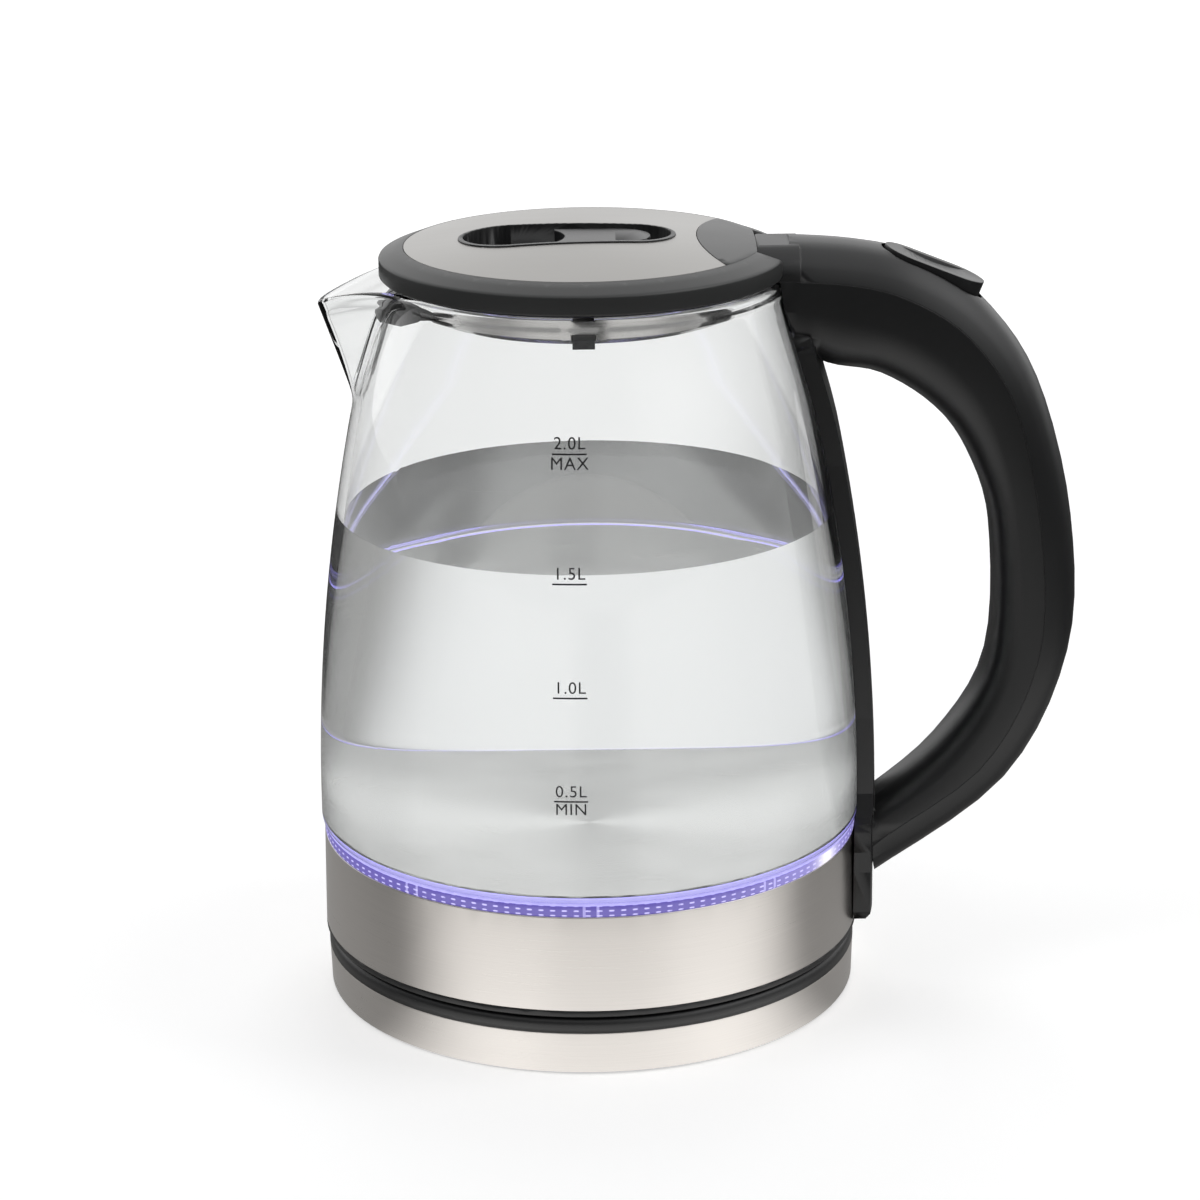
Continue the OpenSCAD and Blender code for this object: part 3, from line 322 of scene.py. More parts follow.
def floor_pool(reach, behind):
    """Light that mirrored rays meet on the floor: a soft wedge before the kettle. Its sides lean
    outwards with the reach, so that a low band and a tall one show equally wide lights."""
    front = soft_step(reach * WEDGE_LEAN - behind, *FADE["wedge"])
    dip = soft_step(-behind, *FADE["dip"]) * -POOL_DIP + 1.0
    fall = 1.0 - soft_step(reach, *FADE["pool"])
    return fall * (front * dip * POOL_LIGHT + POOL_REST) + FLOOR_REST


def cup_light(behind):
    """Light on the floor before the kettle that the lid's steel cup mirrors: pale, with a dark
    stripe down the middle."""
    stripe = soft_step(-behind, *FADE["stripe"]) * -STRIPE_DEPTH + 1.0
    return soft_step(-behind, *FADE["cup"]) * stripe * CUP_LIGHT


def make_floor():
    """A matt floor that keeps the kettle's shadow and shows each kind of ray its own light."""
    mesh = bpy.data.meshes.new("floor")
    half = FLOOR_SIZE / 2
    corners = [(-half, -half, 0), (half, -half, 0), (half, half, 0), (-half, half, 0)]
    mesh.from_pydata(corners, [], [(0, 1, 2, 3)])
    floor = bpy.data.objects.new("floor", mesh)
    bpy.context.scene.collection.objects.link(floor)
    material, graph = new_finish("studio_floor")
    straight, bent, inside, mirrored = ray_kinds(graph)
    reach, behind = bearing(graph)
    side = bent * (1.0 - soft_step(behind.math("ABSOLUTE"), *FADE["side"]))
    front = inside * (1.0 - soft_step(behind, *FADE["front"]))
    # painted shadow of the kettle: bent rays that meet the floor close to it see a flat grey, not the lit
    # floor
    near = (bent - side) * (1.0 - soft_step(reach, *FADE["near"]))
    matt = graph.node("ShaderNodeBsdfDiffuse", {}, {"Color": rgb(0.80, 0.80, 0.80)})
    far = soft_step(reach, *FADE["far"]) * FAR_GLOW + FLOOR_WHITE
    glow = straight * far + (bent + inside) * (FLOOR_WHITE - GLASS_DIM)
    white = graph.node("ShaderNodeEmission", {}, {"Color": rgb(1, 1, 1), "Strength": glow})
    other = (mirrored * floor_pool(reach, behind) + side * SIDE_GREY + near * NEAR_SHADOW_GREY
             + front * (cup_light(behind) + INSIDE_GREY))
    room = graph.node("ShaderNodeEmission", {}, {"Color": rgb(1, 0.99, 0.975), "Strength": other})
    seen = graph.node("ShaderNodeAddShader", {}, {0: matt, 1: white})
    graph.close(graph.node("ShaderNodeMixShader", {}, {0: mirrored + side + near + front, 1: seen, 2: room}))
    mesh.materials.append(material)
    return floor


floor = make_floor()
print("floor:", floor.name, FLOOR_SIZE, "m wide")

# %% [markdown]
# ### The world and the lamps
# The world is the rest of the studio: a screen, a wall and soft lights,
# each for its own kind of ray. Three lamps light the matt pieces, and no
# mirror or glass shows them.

# %% Light the studio
def make_world():
    """White for the eye, a narrow white screen for bent rays, a plain room for rays from inside
    the jug, and a wall and two soft lights for mirrored rays."""
    world = bpy.data.worlds.new("studio")
    bpy.context.scene.world = world
    graph = Graph(world)
    direction = graph.node("ShaderNodeTexCoord", out="Generated")
    back = graph.node("ShaderNodeSeparateXYZ", {}, {"Vector": direction}, out="Y")
    across, up = back.other("X"), back.other("Z")
    screen = soft_step(back.math("ABSOLUTE"), *FADE["screen"]) * (GLASS_WHITE - SIDE_GREY) + SIDE_GREY
    wall = soft_step(back, *FADE["wall"]) * (1.0 - soft_step(up, *FADE["wall_top"])) * WALL_LIGHT
    overhead = soft_step(up, *FADE["overhead"]) * OVERHEAD_LIGHT
    before = 1.0 - soft_step(back, *FADE["before"])
    beside = soft_step(across, *FADE["right"]) * soft_step(up, *FADE["raised"]) * before * BESIDE_LIGHT
    ceiling = soft_step(up, *FADE["ceiling"]) * -CEILING_DIM + 1.0
    room = (soft_step(back, *FADE["room"]) * (1.0 - INSIDE_GREY) + INSIDE_GREY) * ceiling
    straight, bent, inside, mirrored = ray_kinds(graph)
    rest = (1.0 - straight) * (1.0 - bent - inside) * (1.0 - mirrored)
    strength = (straight + bent * screen + inside * room
                + mirrored * (wall + overhead + beside + MIRROR_REST) + rest * AMBIENT)
    light = graph.node("ShaderNodeBackground", {}, {"Color": rgb(1, 1, 1), "Strength": strength})
    graph.node("ShaderNodeOutputWorld", {}, {"Surface": light})


def make_lamp(name, place, target, size, power):
    """A square area lamp that faces a point. It gives light, but no picture of it shows in gloss
    or glass: those show only the world and the floor."""
    data = bpy.data.lights.new(name, "AREA")
    data.shape = "SQUARE"
    data.size = size
    data.energy = power
    lamp = bpy.data.objects.new(name, data)
    lamp.visible_glossy = False
    lamp.visible_transmission = False
    lamp.location = place
    toward = np.subtract(target, place)
    lamp.rotation_mode = "QUATERNION"
    lamp.rotation_quaternion = Vector(toward).to_track_quat("-Z", "Y")
    bpy.context.scene.collection.objects.link(lamp)
    return lamp


MIDDLE = (0.0, 0.0, 0.12)
make_world()
make_lamp("lamp_left", (-1.2, -0.5, 1.2), MIDDLE, 0.9, 5.5)
make_lamp("lamp_right", (1.3, -0.1, 0.9), MIDDLE, 0.7, 4.5)
make_lamp("lamp_back", (0.2, 1.2, 1.4), MIDDLE, 1.0, 7.0)
bpy.context.scene.view_settings.view_transform = "Standard"

# %% [markdown]
# ## Moulded black plastic
# The grip, the lid's rim and the base are moulded in black plastic with a
# satin face. A mould is never quite even: the gloss drifts slowly, and a
# fine texture breaks up the highlight. Both are noise, one coarse and one
# fine, in metres on the object, so they have the same size on every piece.

# %% Plastics and rubber
DRIFT_SCALE, GRAIN_SCALE = 28.0, 2600.0    # turns per metre of the slow and of the fine noise


def moulded(name, colour, roughness, grain=0.02 * MM, edge=0.4 * MM):
    """A moulded plastic: an even colour with a drift in gloss, a fine grain in its normal and soft
    edges. Grain and edge are in metres."""
    material, graph = new_finish(name)
    place = graph.place()
    drift = graph.noise(place, DRIFT_SCALE, 2.0)
    fine = graph.noise(place, GRAIN_SCALE, 3.0, 0.6)
    shader = graph.node("ShaderNodeBsdfPrincipled", {}, {
        "Base Color": graph.mixed(drift, scaled(colour, 0.9), scaled(colour, 1.12)),
        "Roughness": drift * 0.10 + fine * 0.06 + (roughness - 0.08),
        "Normal": graph.bump(fine, grain, 0.6, graph.rounded(edge))})
    graph.close(shader)
    return material


BLACK = (0.0105, 0.0108, 0.0115)
LID_BLACK = (0.030, 0.031, 0.031)
black_plastic = moulded("satin_black_plastic", BLACK, 0.40)
lid_plastic = moulded("lid_black_plastic", LID_BLACK, 0.42)
slide_plastic = moulded("slide_black_plastic", (0.012, 0.012, 0.013), 0.36, 0.01 * MM)
ivory_plastic = moulded("ivory_plastic", (0.72, 0.70, 0.60), 0.45)
white_plastic = moulded("white_plastic", (0.78, 0.78, 0.75), 0.40)
rubber = moulded("foot_rubber", (0.03, 0.03, 0.03), 0.75, 0.05 * MM)
gasket = moulded("grey_silicone", (0.10, 0.09, 0.13), 0.42)
board_green = moulded("circuit_board", (0.02, 0.13, 0.06), 0.5)
wire_black = moulded("wire_insulation", (0.026, 0.026, 0.028), 0.45)
print("plastics:", [m.name for m in bpy.data.materials if "plastic" in m.name])

# %% [markdown]
# ## Brushed and turned steel
# The cladding is sheet steel brushed round the body, and the heating
# plate is turned on a lathe. Both are covered in grooves far finer than a
# pixel, so the highlight spreads across them: that is what the shader's
# anisotropy does, and its tangent runs round Z on a piece without a UV
# map. The streaks that can be seen are noise that is stretched along the
# grooves and squeezed across them.

# %% Metals
CLOUD_SCALE, PLATE_CLOUD_SCALE, PART_CLOUD_SCALE = 22.0, 60.0, 240.0    # turns per metre
GROOVE_SCALE = 2400.0    # turns per metre across the lathe's grooves
QUARTER_TURN = 0.25      # turns the tangent, so that the highlight spreads across the grooves


def brushed(name, colour, roughness, stretch, anisotropy):
    """Brushed metal. Stretch holds the noise's turns per metre along X, Y and Z, so the streaks
    run where it is small."""
    material, graph = new_finish(name)
    streak = graph.noise(graph.stretched(graph.place(), stretch), 1.0, 3.0, 0.65)
    cloud = graph.noise(graph.place(), CLOUD_SCALE, 2.0)
    shader = graph.node("ShaderNodeBsdfPrincipled", {}, {
        "Base Color": graph.mixed(streak, scaled(colour, 0.88), scaled(colour, 1.06)),
        "Metallic": 1.0,
        "Roughness": streak * 0.16 + cloud * 0.05 + (roughness - 0.10),
        "Anisotropic": anisotropy,
        "Anisotropic Rotation": QUARTER_TURN,
        "Normal": graph.bump(streak, 0.002 * MM, 0.5, graph.rounded(0.3 * MM))})
    graph.close(shader)
    return material


def turned_steel(name, colour, roughness, anisotropy):
    """Steel turned on a lathe: the grooves are circles, so the noise depends on the distance from
    the axis."""
    material, graph = new_finish(name)
    flat = graph.stretched(graph.place(), (1, 1, 0))
    radius = graph.node("ShaderNodeVectorMath", {"operation": "LENGTH"}, {0: flat}, out="Value")
    rings = graph.noise(graph.node("ShaderNodeCombineXYZ", {}, {"X": radius * GROOVE_SCALE}), 1.0, 3.0, 0.7)
    cloud = graph.noise(graph.place(), PLATE_CLOUD_SCALE, 3.0)
    shader = graph.node("ShaderNodeBsdfPrincipled", {}, {
        "Base Color": graph.mixed(rings, scaled(colour, 0.86), rgb(*colour)),
        "Metallic": 1.0,
        "Roughness": rings * 0.14 + cloud * 0.08 + (roughness - 0.11),
        "Anisotropic": anisotropy,
        "Anisotropic Rotation": QUARTER_TURN,
        "Normal": graph.bump(rings, 0.003 * MM, 0.5)})
    graph.close(shader)
    return material


def plain_metal(name, colour, roughness):
    """A small metal part: its colour and gloss drift with handling."""
    material, graph = new_finish(name)
    cloud = graph.noise(graph.place(), PART_CLOUD_SCALE, 3.0)
    shader = graph.node("ShaderNodeBsdfPrincipled", {}, {
        "Base Color": graph.mixed(cloud, scaled(colour, 0.82), rgb(*colour)),
        "Metallic": 1.0,
        "Roughness": cloud * 0.2 + (roughness - 0.1),
        "Normal": graph.rounded(0.2 * MM)})
    graph.close(shader)
    return material


band_steel = brushed("brushed_steel_round", (0.72, 0.69, 0.66), 0.30, (30, 30, 5200), 0.75)
lid_steel = brushed("satin_lid_steel", (0.31, 0.302, 0.29), 0.33, (40, 4200, 40), 0.3)
cup_steel = brushed("polished_cup_steel", (0.66, 0.65, 0.64), 0.16, (30, 30, 2600), 0.4)
plate_steel = turned_steel("turned_plate_steel", (0.86, 0.86, 0.85), 0.25, 0.88)
brass = plain_metal("brass", (0.72, 0.50, 0.20), 0.32)
zinc = plain_metal("zinc_plate", (0.62, 0.62, 0.62), 0.30)
blued = plain_metal("blackened_steel", (0.09, 0.09, 0.095), 0.42)
aluminium = plain_metal("aluminium", (0.76, 0.76, 0.77), 0.40)
print("metals:", [m.name for m in bpy.data.materials if "steel" in m.name])

# %% [markdown]
# ## Glass, water and the lit ring
# The jug is clear borosilicate glass with an index of 1.47. Rays from
# lamps are let through by a Transparent shader, so that what is inside is
# lit without the noise of true caustics. The ring under the glass is a
# clear light guide with rows of small prisms: LEDs shine in from inside,
# the prisms throw the light out in dashes, and clips hold the guide.

# %% Clear and glowing finishes
def clear(name, colour, index, roughness=0.0):
    """A clear solid that lets lamps through."""
    material, graph = new_finish(name)
    body = graph.node("ShaderNodeBsdfPrincipled", {}, {
        "Base Color": rgb(*colour), "Roughness": roughness, "IOR": index, "Transmission Weight": 1.0})
    pane = graph.node("ShaderNodeBsdfTransparent", {}, {"Color": rgb(*colour)})
    shadow = graph.node("ShaderNodeLightPath", out="Is Shadow Ray")
    graph.close(graph.node("ShaderNodeMixShader", {}, {0: shadow, 1: body, 2: pane}))
    return material


BRIGHT_ANGLE = math.radians(-30)   # where most light leaves the guide
CLIP_COUNT = 9
CLIP_ANGLE = math.radians(-90)
CLIP_EDGE = (0.965, 0.985)         # cosines between which a clip's outline lies
HALO_POWER, SPOT_POWER = 24.0, 900.0
PRISMS = 150.0                     # dashes in one turn
PRISM_ROW = 1.45 * MM              # height of a row of dashes
CELLS = (900, 900, 1400)           # turns per metre of the noise that makes the dashes uneven
DASH_LIGHT, CLIP_LIGHT, HALO_LIGHT = 2.4, 0.5, 0.35
DEEP_VIOLET, PALE_VIOLET = rgb(0.075, 0.055, 0.29), rgb(0.62, 0.58, 0.98)
LED_WHITE = rgb(1.0, 0.98, 1.0)


def lit_guide(name):
    """The light guide: a deep violet glow with rows of fine bright dashes, a square clip at every
    ninth of the turn, and a bright spot where an LED shines straight out."""
    material, graph = new_finish(name)
    parts = graph.node("ShaderNodeSeparateXYZ", {}, {"Vector": graph.place()}, out="X")
    angle = parts.other("Y").math("ARCTAN2", parts)
    facing = (angle - BRIGHT_ANGLE).math("COSINE") * 0.5 + 0.5
    halo, spot = facing.math("POWER", HALO_POWER), facing.math("POWER", SPOT_POWER)
    clips = ((angle - CLIP_ANGLE) * float(CLIP_COUNT)).math("COSINE")
    edge_of_clip = (clips > CLIP_EDGE[0]) * (clips < CLIP_EDGE[1])
    prisms = soft_step((angle * PRISMS).math("SINE"), -0.2, 0.9)
    rows = soft_step((parts.other("Z") * (2 * math.pi / PRISM_ROW)).math("SINE"), 0.25, 0.9)
    cells = graph.noise(graph.stretched(graph.place(), CELLS), 1.0, 1.0)
    light = prisms * rows * cells * DASH_LIGHT + edge_of_clip * CLIP_LIGHT + halo * HALO_LIGHT
    dash = light.math("MINIMUM", 1.0)
    glow = graph.mixed(dash, DEEP_VIOLET, PALE_VIOLET)
    hot = graph.mixed(spot, glow, LED_WHITE)
    shader = graph.node("ShaderNodeBsdfPrincipled", {}, {
        "Base Color": rgb(0.16, 0.14, 0.36), "Roughness": 0.15,
        "Emission Color": hot, "Emission Strength": 1.0,
        "Normal": graph.bump(prisms, 0.2 * MM, 0.7)})
    graph.close(shader)
    return material


def lit_silicone(name):
    """Milky silicone whose glow is painted light: its emission stands in for the ring's light shining through
    it.
    """
    material, graph = new_finish(name)
    cloud = graph.noise(graph.place(), 300.0, 2.0)
    shader = graph.node("ShaderNodeBsdfPrincipled", {}, {
        "Base Color": graph.mixed(cloud, rgb(0.50, 0.50, 0.58), rgb(0.66, 0.66, 0.74)),
        "Roughness": 0.35,
        # painted light: the silicone is no lamp, and this glow stands in for the ring's light behind it
        "Emission Color": rgb(0.30, 0.26, 0.82), "Emission Strength": 0.85})
    graph.close(shader)
    return material


glass = clear("jug_glass", (0.985, 0.992, 0.99), 1.47)
water_clear = clear("water", (0.985, 0.99, 0.992), 1.333)
light_guide = lit_guide("lit_light_guide")
seal_silicone = lit_silicone("lit_seal_silicone")
led_lens = clear("led_lens", (0.9, 0.9, 1.0), 1.5, 0.1)
print("clear:", glass.name, water_clear.name, light_guide.name)

# %% [markdown]
# ## Finishes by piece
# Each CAD node takes the finish of its real piece. The second value is
# the slot of the part's record that the finish belongs to.

# %% Give each node its finish
FINISHES = {
    "base_top_shell": (black_plastic, "black_plastic"),
    "base_steel_band": (band_steel, "brushed_steel"),
    "base_bottom_cover": (black_plastic, "black_plastic"),
    "connector_tower": (black_plastic, "black_plastic"),
    "contact_rings": (brass, "brass"),
    "cord_grommet": (rubber, "rubber"),
    "base_screws": (zinc, "fastener"),
    "rubber_feet": (rubber, "rubber"),
    "earth_pin": (brass, "brass"),
    "jug_bottom_cover": (black_plastic, "black_plastic"),
    "skirt_band": (band_steel, "brushed_steel"),
    "skirt_liner": (white_plastic, "ivory_plastic"),
    "light_ring": (light_guide, "light_guide"),
    "led_board": (board_green, "board"),
    "leds": (led_lens, "led"),
    "heating_plate": (plate_steel, "plate_steel"),
    "plate_seal": (seal_silicone, "silicone"),
    "heat_spreader": (aluminium, "aluminium"),
    "heating_element": (aluminium, "aluminium"),
    "element_terminals": (brass, "brass"),
    "control_unit": (ivory_plastic, "ivory_plastic"),
    "jug_socket": (black_plastic, "black_plastic"),
    "boil_dry_discs": (brass, "brass"),
    "bottom_screws": (zinc, "fastener"),
    "glass_jug": (glass, "glass"),
    "handle_inner_shell": (black_plastic, "black_plastic"),
    "handle_outer_cover": (black_plastic, "black_plastic"),
    "handle_screws": (zinc, "fastener"),
    "switch_module": (black_plastic, "black_plastic"),
    "steam_disc": (brass, "brass"),
    "switch_leads": (wire_black, "lead"),
    "lid_hinge_pin": (zinc, "fastener"),
    "lid_rim": (lid_plastic, "black_plastic"),
    "lid_steel_plate": (lid_steel, "lid_steel"),
    "recess_cup": (black_plastic, "black_plastic"),
    "lid_inner_cup": (cup_steel, "brushed_steel"),
    "lid_gasket": (gasket, "gasket"),
    "spout_strainer": (black_plastic, "black_plastic"),
    "lid_screws": (zinc, "fastener"),
    "release_slide": (slide_plastic, "black_plastic"),
    "release_carriage": (white_plastic, "ivory_plastic"),
    "latch_bolt_near": (blued, "fastener"),
    "latch_bolt_far": (blued, "fastener"),
    "latch_spring": (zinc, "fastener"),
    "rocker_switch": (black_plastic, "black_plastic"),
}
for node, (material, _) in FINISHES.items():
    data = frame["nodes"][node].data
    data.materials.clear()
    data.materials.append(material)
print("finished nodes:", len(FINISHES))

# %% [markdown]
# ## Smooth copies of curved pieces
# A curved node comes as loose, flat triangles. Its own mesh is left
# alone: a copy is welded, shaded smooth except over sharp edges, and
# stands in for the node.

# %% Smooth the curved pieces
SMOOTHED = [
    "base_top_shell", "base_steel_band", "base_bottom_cover", "connector_tower", "contact_rings",
    "rubber_feet", "jug_bottom_cover", "skirt_band", "light_ring", "heating_plate", "plate_seal",
    "handle_inner_shell", "handle_outer_cover", "lid_rim", "lid_steel_plate", "recess_cup",
    "lid_inner_cup", "lid_gasket", "spout_strainer", "release_slide", "rocker_switch",
]
SHARP = math.radians(32)
WELD, SLIVER = 0.002 * MM, 0.001 * MM    # points closer than this are joined, shorter edges dissolved
body_of = {node: body for body, nodes in frame["record"]["behaviour"]["bodies"].items() for node in nodes}


def shade(mesh, sharp=SHARP):
    """Smooth shading, except over edges that turn by more than an angle."""
    mesh.shade_smooth()
    mesh.set_sharp_from_angle(angle=sharp)


def finish_piece(obj, node, material, slot_name):
    """Gives a new piece its material, its body and the node it stands for."""
    obj.data.materials.clear()
    obj.data.materials.append(material)
    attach(obj, body_of[node])
    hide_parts(node)
    return obj


def smoothed(node):
    """A welded copy of a node's mesh, shaded smooth."""
    mesh = frame["nodes"][node].data.copy()
    mesh.name = node + "_smooth"
    work = bmesh.new()
    work.from_mesh(mesh)
    bmesh.ops.remove_doubles(work, verts=work.verts, dist=WELD)
    bmesh.ops.dissolve_degenerate(work, edges=work.edges, dist=SLIVER)
    work.to_mesh(mesh)
    work.free()
    shade(mesh)
    obj = bpy.data.objects.new(node + "_smooth", mesh)
    bpy.context.scene.collection.objects.link(obj)
    even = obj.modifiers.new("even_normals", "WEIGHTED_NORMAL")
    even.keep_sharp = True
    return finish_piece(obj, node, *FINISHES[node])


for node in SMOOTHED:
    smoothed(node)
print("smooth copies:", len(SMOOTHED))

# %% [markdown]
# ## The latch spring
# The spring sits between the release carriage and a wall of the lid, and
# rides on the carriage. Its smooth copy is made here, and its length and
# the release's travel are worked out; nothing squashes it as the release
# moves.

# %% The spring's length and travel
spring = smoothed("latch_spring")
spring_low, spring_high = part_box("latch_spring")
release = next(j for j in frame["record"]["behaviour"]["joints"] if j["name"] == "lid_release")
travel = release["range_m"][1]
coil_length = spring_high.x - spring_low.x
1 - travel / coil_length
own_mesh(spring)
print("spring:", round(coil_length / MM, 1), "mm long, squashed by", travel / MM, "mm")

# %% [markdown]
# ## Surfaces from arrays
# A surface is a grid of points worked out with numpy: one direction of
# the grid runs along a profile, the other round the object. One helper
# turns such a grid into a mesh. It joins the last row or column to the
# first where the surface closes on itself, and turns all faces outwards
# if the volume they enclose comes out negative.

# %% From a grid to a mesh
def grid_faces(rows, columns, close_rows, close_columns):
    """Quads between neighbours of a grid, wrapped round where it closes."""
    r = np.arange(rows if close_rows else rows - 1)[:, None]
    c = np.arange(columns if close_columns else columns - 1)[None, :]
    r2, c2 = (r + 1) % rows, (c + 1) % columns
    corners = [r * columns + c, r * columns + c2, r2 * columns + c2, r2 * columns + c]
    return np.stack([np.broadcast_to(k, (r.shape[0], c.shape[1])) for k in corners], axis=-1).reshape(-1, 4)


def volume(points, faces):
    """Six times the signed volume inside a closed set of quads."""
    a, b, c, d = (points[faces[:, i]] for i in range(4))
    return np.einsum("ij,ij->", a, np.cross(b, c)) + np.einsum("ij,ij->", a, np.cross(c, d))


def mesh_from_grid(name, grid, close_rows=False, close_columns=True, cap=False):
    """A mesh from grid[row, column, xyz]. Cap closes the first and last row with a fan about its
    middle."""
    rows, columns = grid.shape[:2]
    points = grid.reshape(-1, 3)
    faces = grid_faces(rows, columns, close_rows, close_columns)
    fans = []
    if cap:
        middles = np.stack([grid[0].mean(axis=0), grid[-1].mean(axis=0)])
        first = rows * columns
        c = np.arange(columns)
        c2 = (c + 1) % columns
        low = np.stack([np.full(columns, first), c2, c, c], axis=-1)
        top = np.stack([np.full(columns, first + 1), (rows - 1) * columns + c, (rows - 1) * columns + c2,
                        (rows - 1) * columns + c2], axis=-1)
        points = np.vstack([points, middles])
        fans = [low, top]
    quads = np.vstack([faces, *fans])
    if volume(points, quads) < 0:
        quads = quads[:, ::-1]
    mesh = bpy.data.meshes.new(name)
    mesh.from_pydata(points.tolist(), [], [list(dict.fromkeys(q)) for q in quads.tolist()])
    mesh.update()
    shade(mesh)
    obj = bpy.data.objects.new(name, mesh)
    bpy.context.scene.collection.objects.link(obj)
    return obj


print("grid helpers ready")

# %% [markdown]
# ## The glass jug
# The jug is blown glass: a long, slightly curved flank, a shoulder that
# runs into the neck, and a spout pulled out of the rim while it was hot.
# As a formula, the wall is the larger of two radii at each angle and
# height, blended so that the fold between them is soft: the round jug,
# and a V that opens from the spout's root up to its tip.

# %% Radii of the glass
GLASS = {"wall": 2.6 * MM, "belly": 78.9 * MM, "belly_rise": 3.2 * MM, "arc": 565 * MM,
         "shoulder": 116 * MM, "neck": 56.6 * MM, "neck_slope": 0.15, "spout": 75.5 * MM,
         "tip_drop": 6.6 * MM, "spout_height": 35 * MM, "half_angle": math.radians(30)}
SPOUT_SINK = 1.5 * MM    # depth at which the spout's sides meet the round wall
SINK_RATE = 12 * MM      # metres per radian by which the V sinks past its sides
ROOT_ANGLE = math.radians(8)
APEX_ROUND = {"outer": 0.035, "inner": 0.015}    # in radians: the V's fold is rounder outside
FOLD_ROUND = 1.2 * MM
glass_low, glass_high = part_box("glass_jug")
glass_z0 = glass_low.z
rim_z = glass_high.z


def jug_radius(z):
    """Outer radius: a circular arc up to the shoulder, then a cubic that leaves the arc smoothly
    and reaches the neck with its own slope."""
    belly_z = glass_z0 + GLASS["belly_rise"]
    shoulder_z = glass_z0 + GLASS["shoulder"]
    arc = GLASS["belly"] - (z - belly_z) ** 2 / (2 * GLASS["arc"])
    r0 = GLASS["belly"] - (shoulder_z - belly_z) ** 2 / (2 * GLASS["arc"])
    slope = -(shoulder_z - belly_z) / GLASS["arc"]
    h = rim_z - shoulder_z
    t = np.clip((z - shoulder_z) / h, 0, 1)
    neck = ((2 * t**3 - 3 * t**2 + 1) * r0 + (t**3 - 2 * t**2 + t) * h * slope
            + (3 * t**2 - 2 * t**3) * GLASS["neck"] - (t**3 - t**2) * h * GLASS["neck_slope"])
    return np.where(z < shoulder_z, arc, neck)


def soft_max(a, b, width):
    """The larger of two values, with a round corner of a given width where they meet."""
    return (a + b + np.sqrt((a - b) ** 2 + width**2)) / 2


def smooth_step(t):
    """0 up to 0, 1 from 1 on, and a smooth cubic between."""
    t = np.clip(t, 0, 1)
    return t * t * (3 - 2 * t)


def spout_radius(away, z, inset):
    """Radius of the V at an angle away from its middle. Its apex leans out in a straight line from
    the root to the tip, and each side is a line from the apex to a point just inside the round
    wall. Past that point the radius sinks into the wall. The V is narrow over most of its height
    and flares under the lip, as the fourth power of the height. Its fold is rounder outside than
    inside, so the glass keeps one thickness round it."""
    root_z = rim_z - GLASS["spout_height"]
    flare = np.clip((z - root_z) / GLASS["spout_height"], 0, 1) ** 4
    root_r = jug_radius(root_z)
    rise = (z - root_z) / (GLASS["spout_height"] - GLASS["tip_drop"])
    apex = root_r + (GLASS["spout"] - root_r) * rise - inset
    rounding = APEX_ROUND["inner" if inset else "outer"]
    sunk = np.minimum(apex - jug_radius(z) + inset, 0)
    side = jug_radius(z) - inset - SPOUT_SINK + sunk
    limit = ROOT_ANGLE + (GLASS["half_angle"] - ROOT_ANGLE) * flare
    half = np.arctan2(side * np.sin(limit), np.maximum(apex - side * np.cos(limit), 1 * MM))
    turn = np.sqrt(away**2 + rounding**2) - rounding
    line = apex * np.sin(half) / np.sin(half + np.minimum(turn, limit))
    return line - np.maximum(turn - limit, 0) * SINK_RATE


def wall_radius(away, z, inset):
    """Radius of the outer face for inset 0, and of the inner face for the wall's thickness."""
    return soft_max(jug_radius(z) - inset, spout_radius(away, z, inset * 0.85), FOLD_ROUND)


print("rim radius:", round(float(jug_radius(rim_z)) / MM, 1), "mm")

# %% [markdown]
# One grid goes up the outside, over the fire-polished lip and down the
# inside, so the wall is one closed surface, which refraction needs. Its
# columns lie closer together over the spout.

# %% Blow the glass
LIP_RADIUS = 1.2 * MM
TIP_POWER = 2.6
WALL_ROWS, CROWDING = 120, 1.35    # rows up the wall, and how much they crowd towards the lip
BEAD = 1.0 * MM          # by which the wall is thicker at the lip
BEAD_DROP, BEAD_FADE = 5 * MM, 2.5 * MM    # how far below the lip that starts, and over what height


def lip_height(away):
    """Height of the lip: the rim, dropping to the tip as a power of the way from the spout's edge."""
    fall = 1 - np.clip(np.abs(away) / GLASS["half_angle"], 0, 1)
    return rim_z - GLASS["tip_drop"] * fall**TIP_POWER


def jug_angles():
    """Angles round the jug, closer together over the spout, which points to -X."""
    fine = np.linspace(-40, 40, 161)
    coarse = np.linspace(40, 320, 141)[1:-1]
    return np.radians(np.concatenate([fine, coarse]))


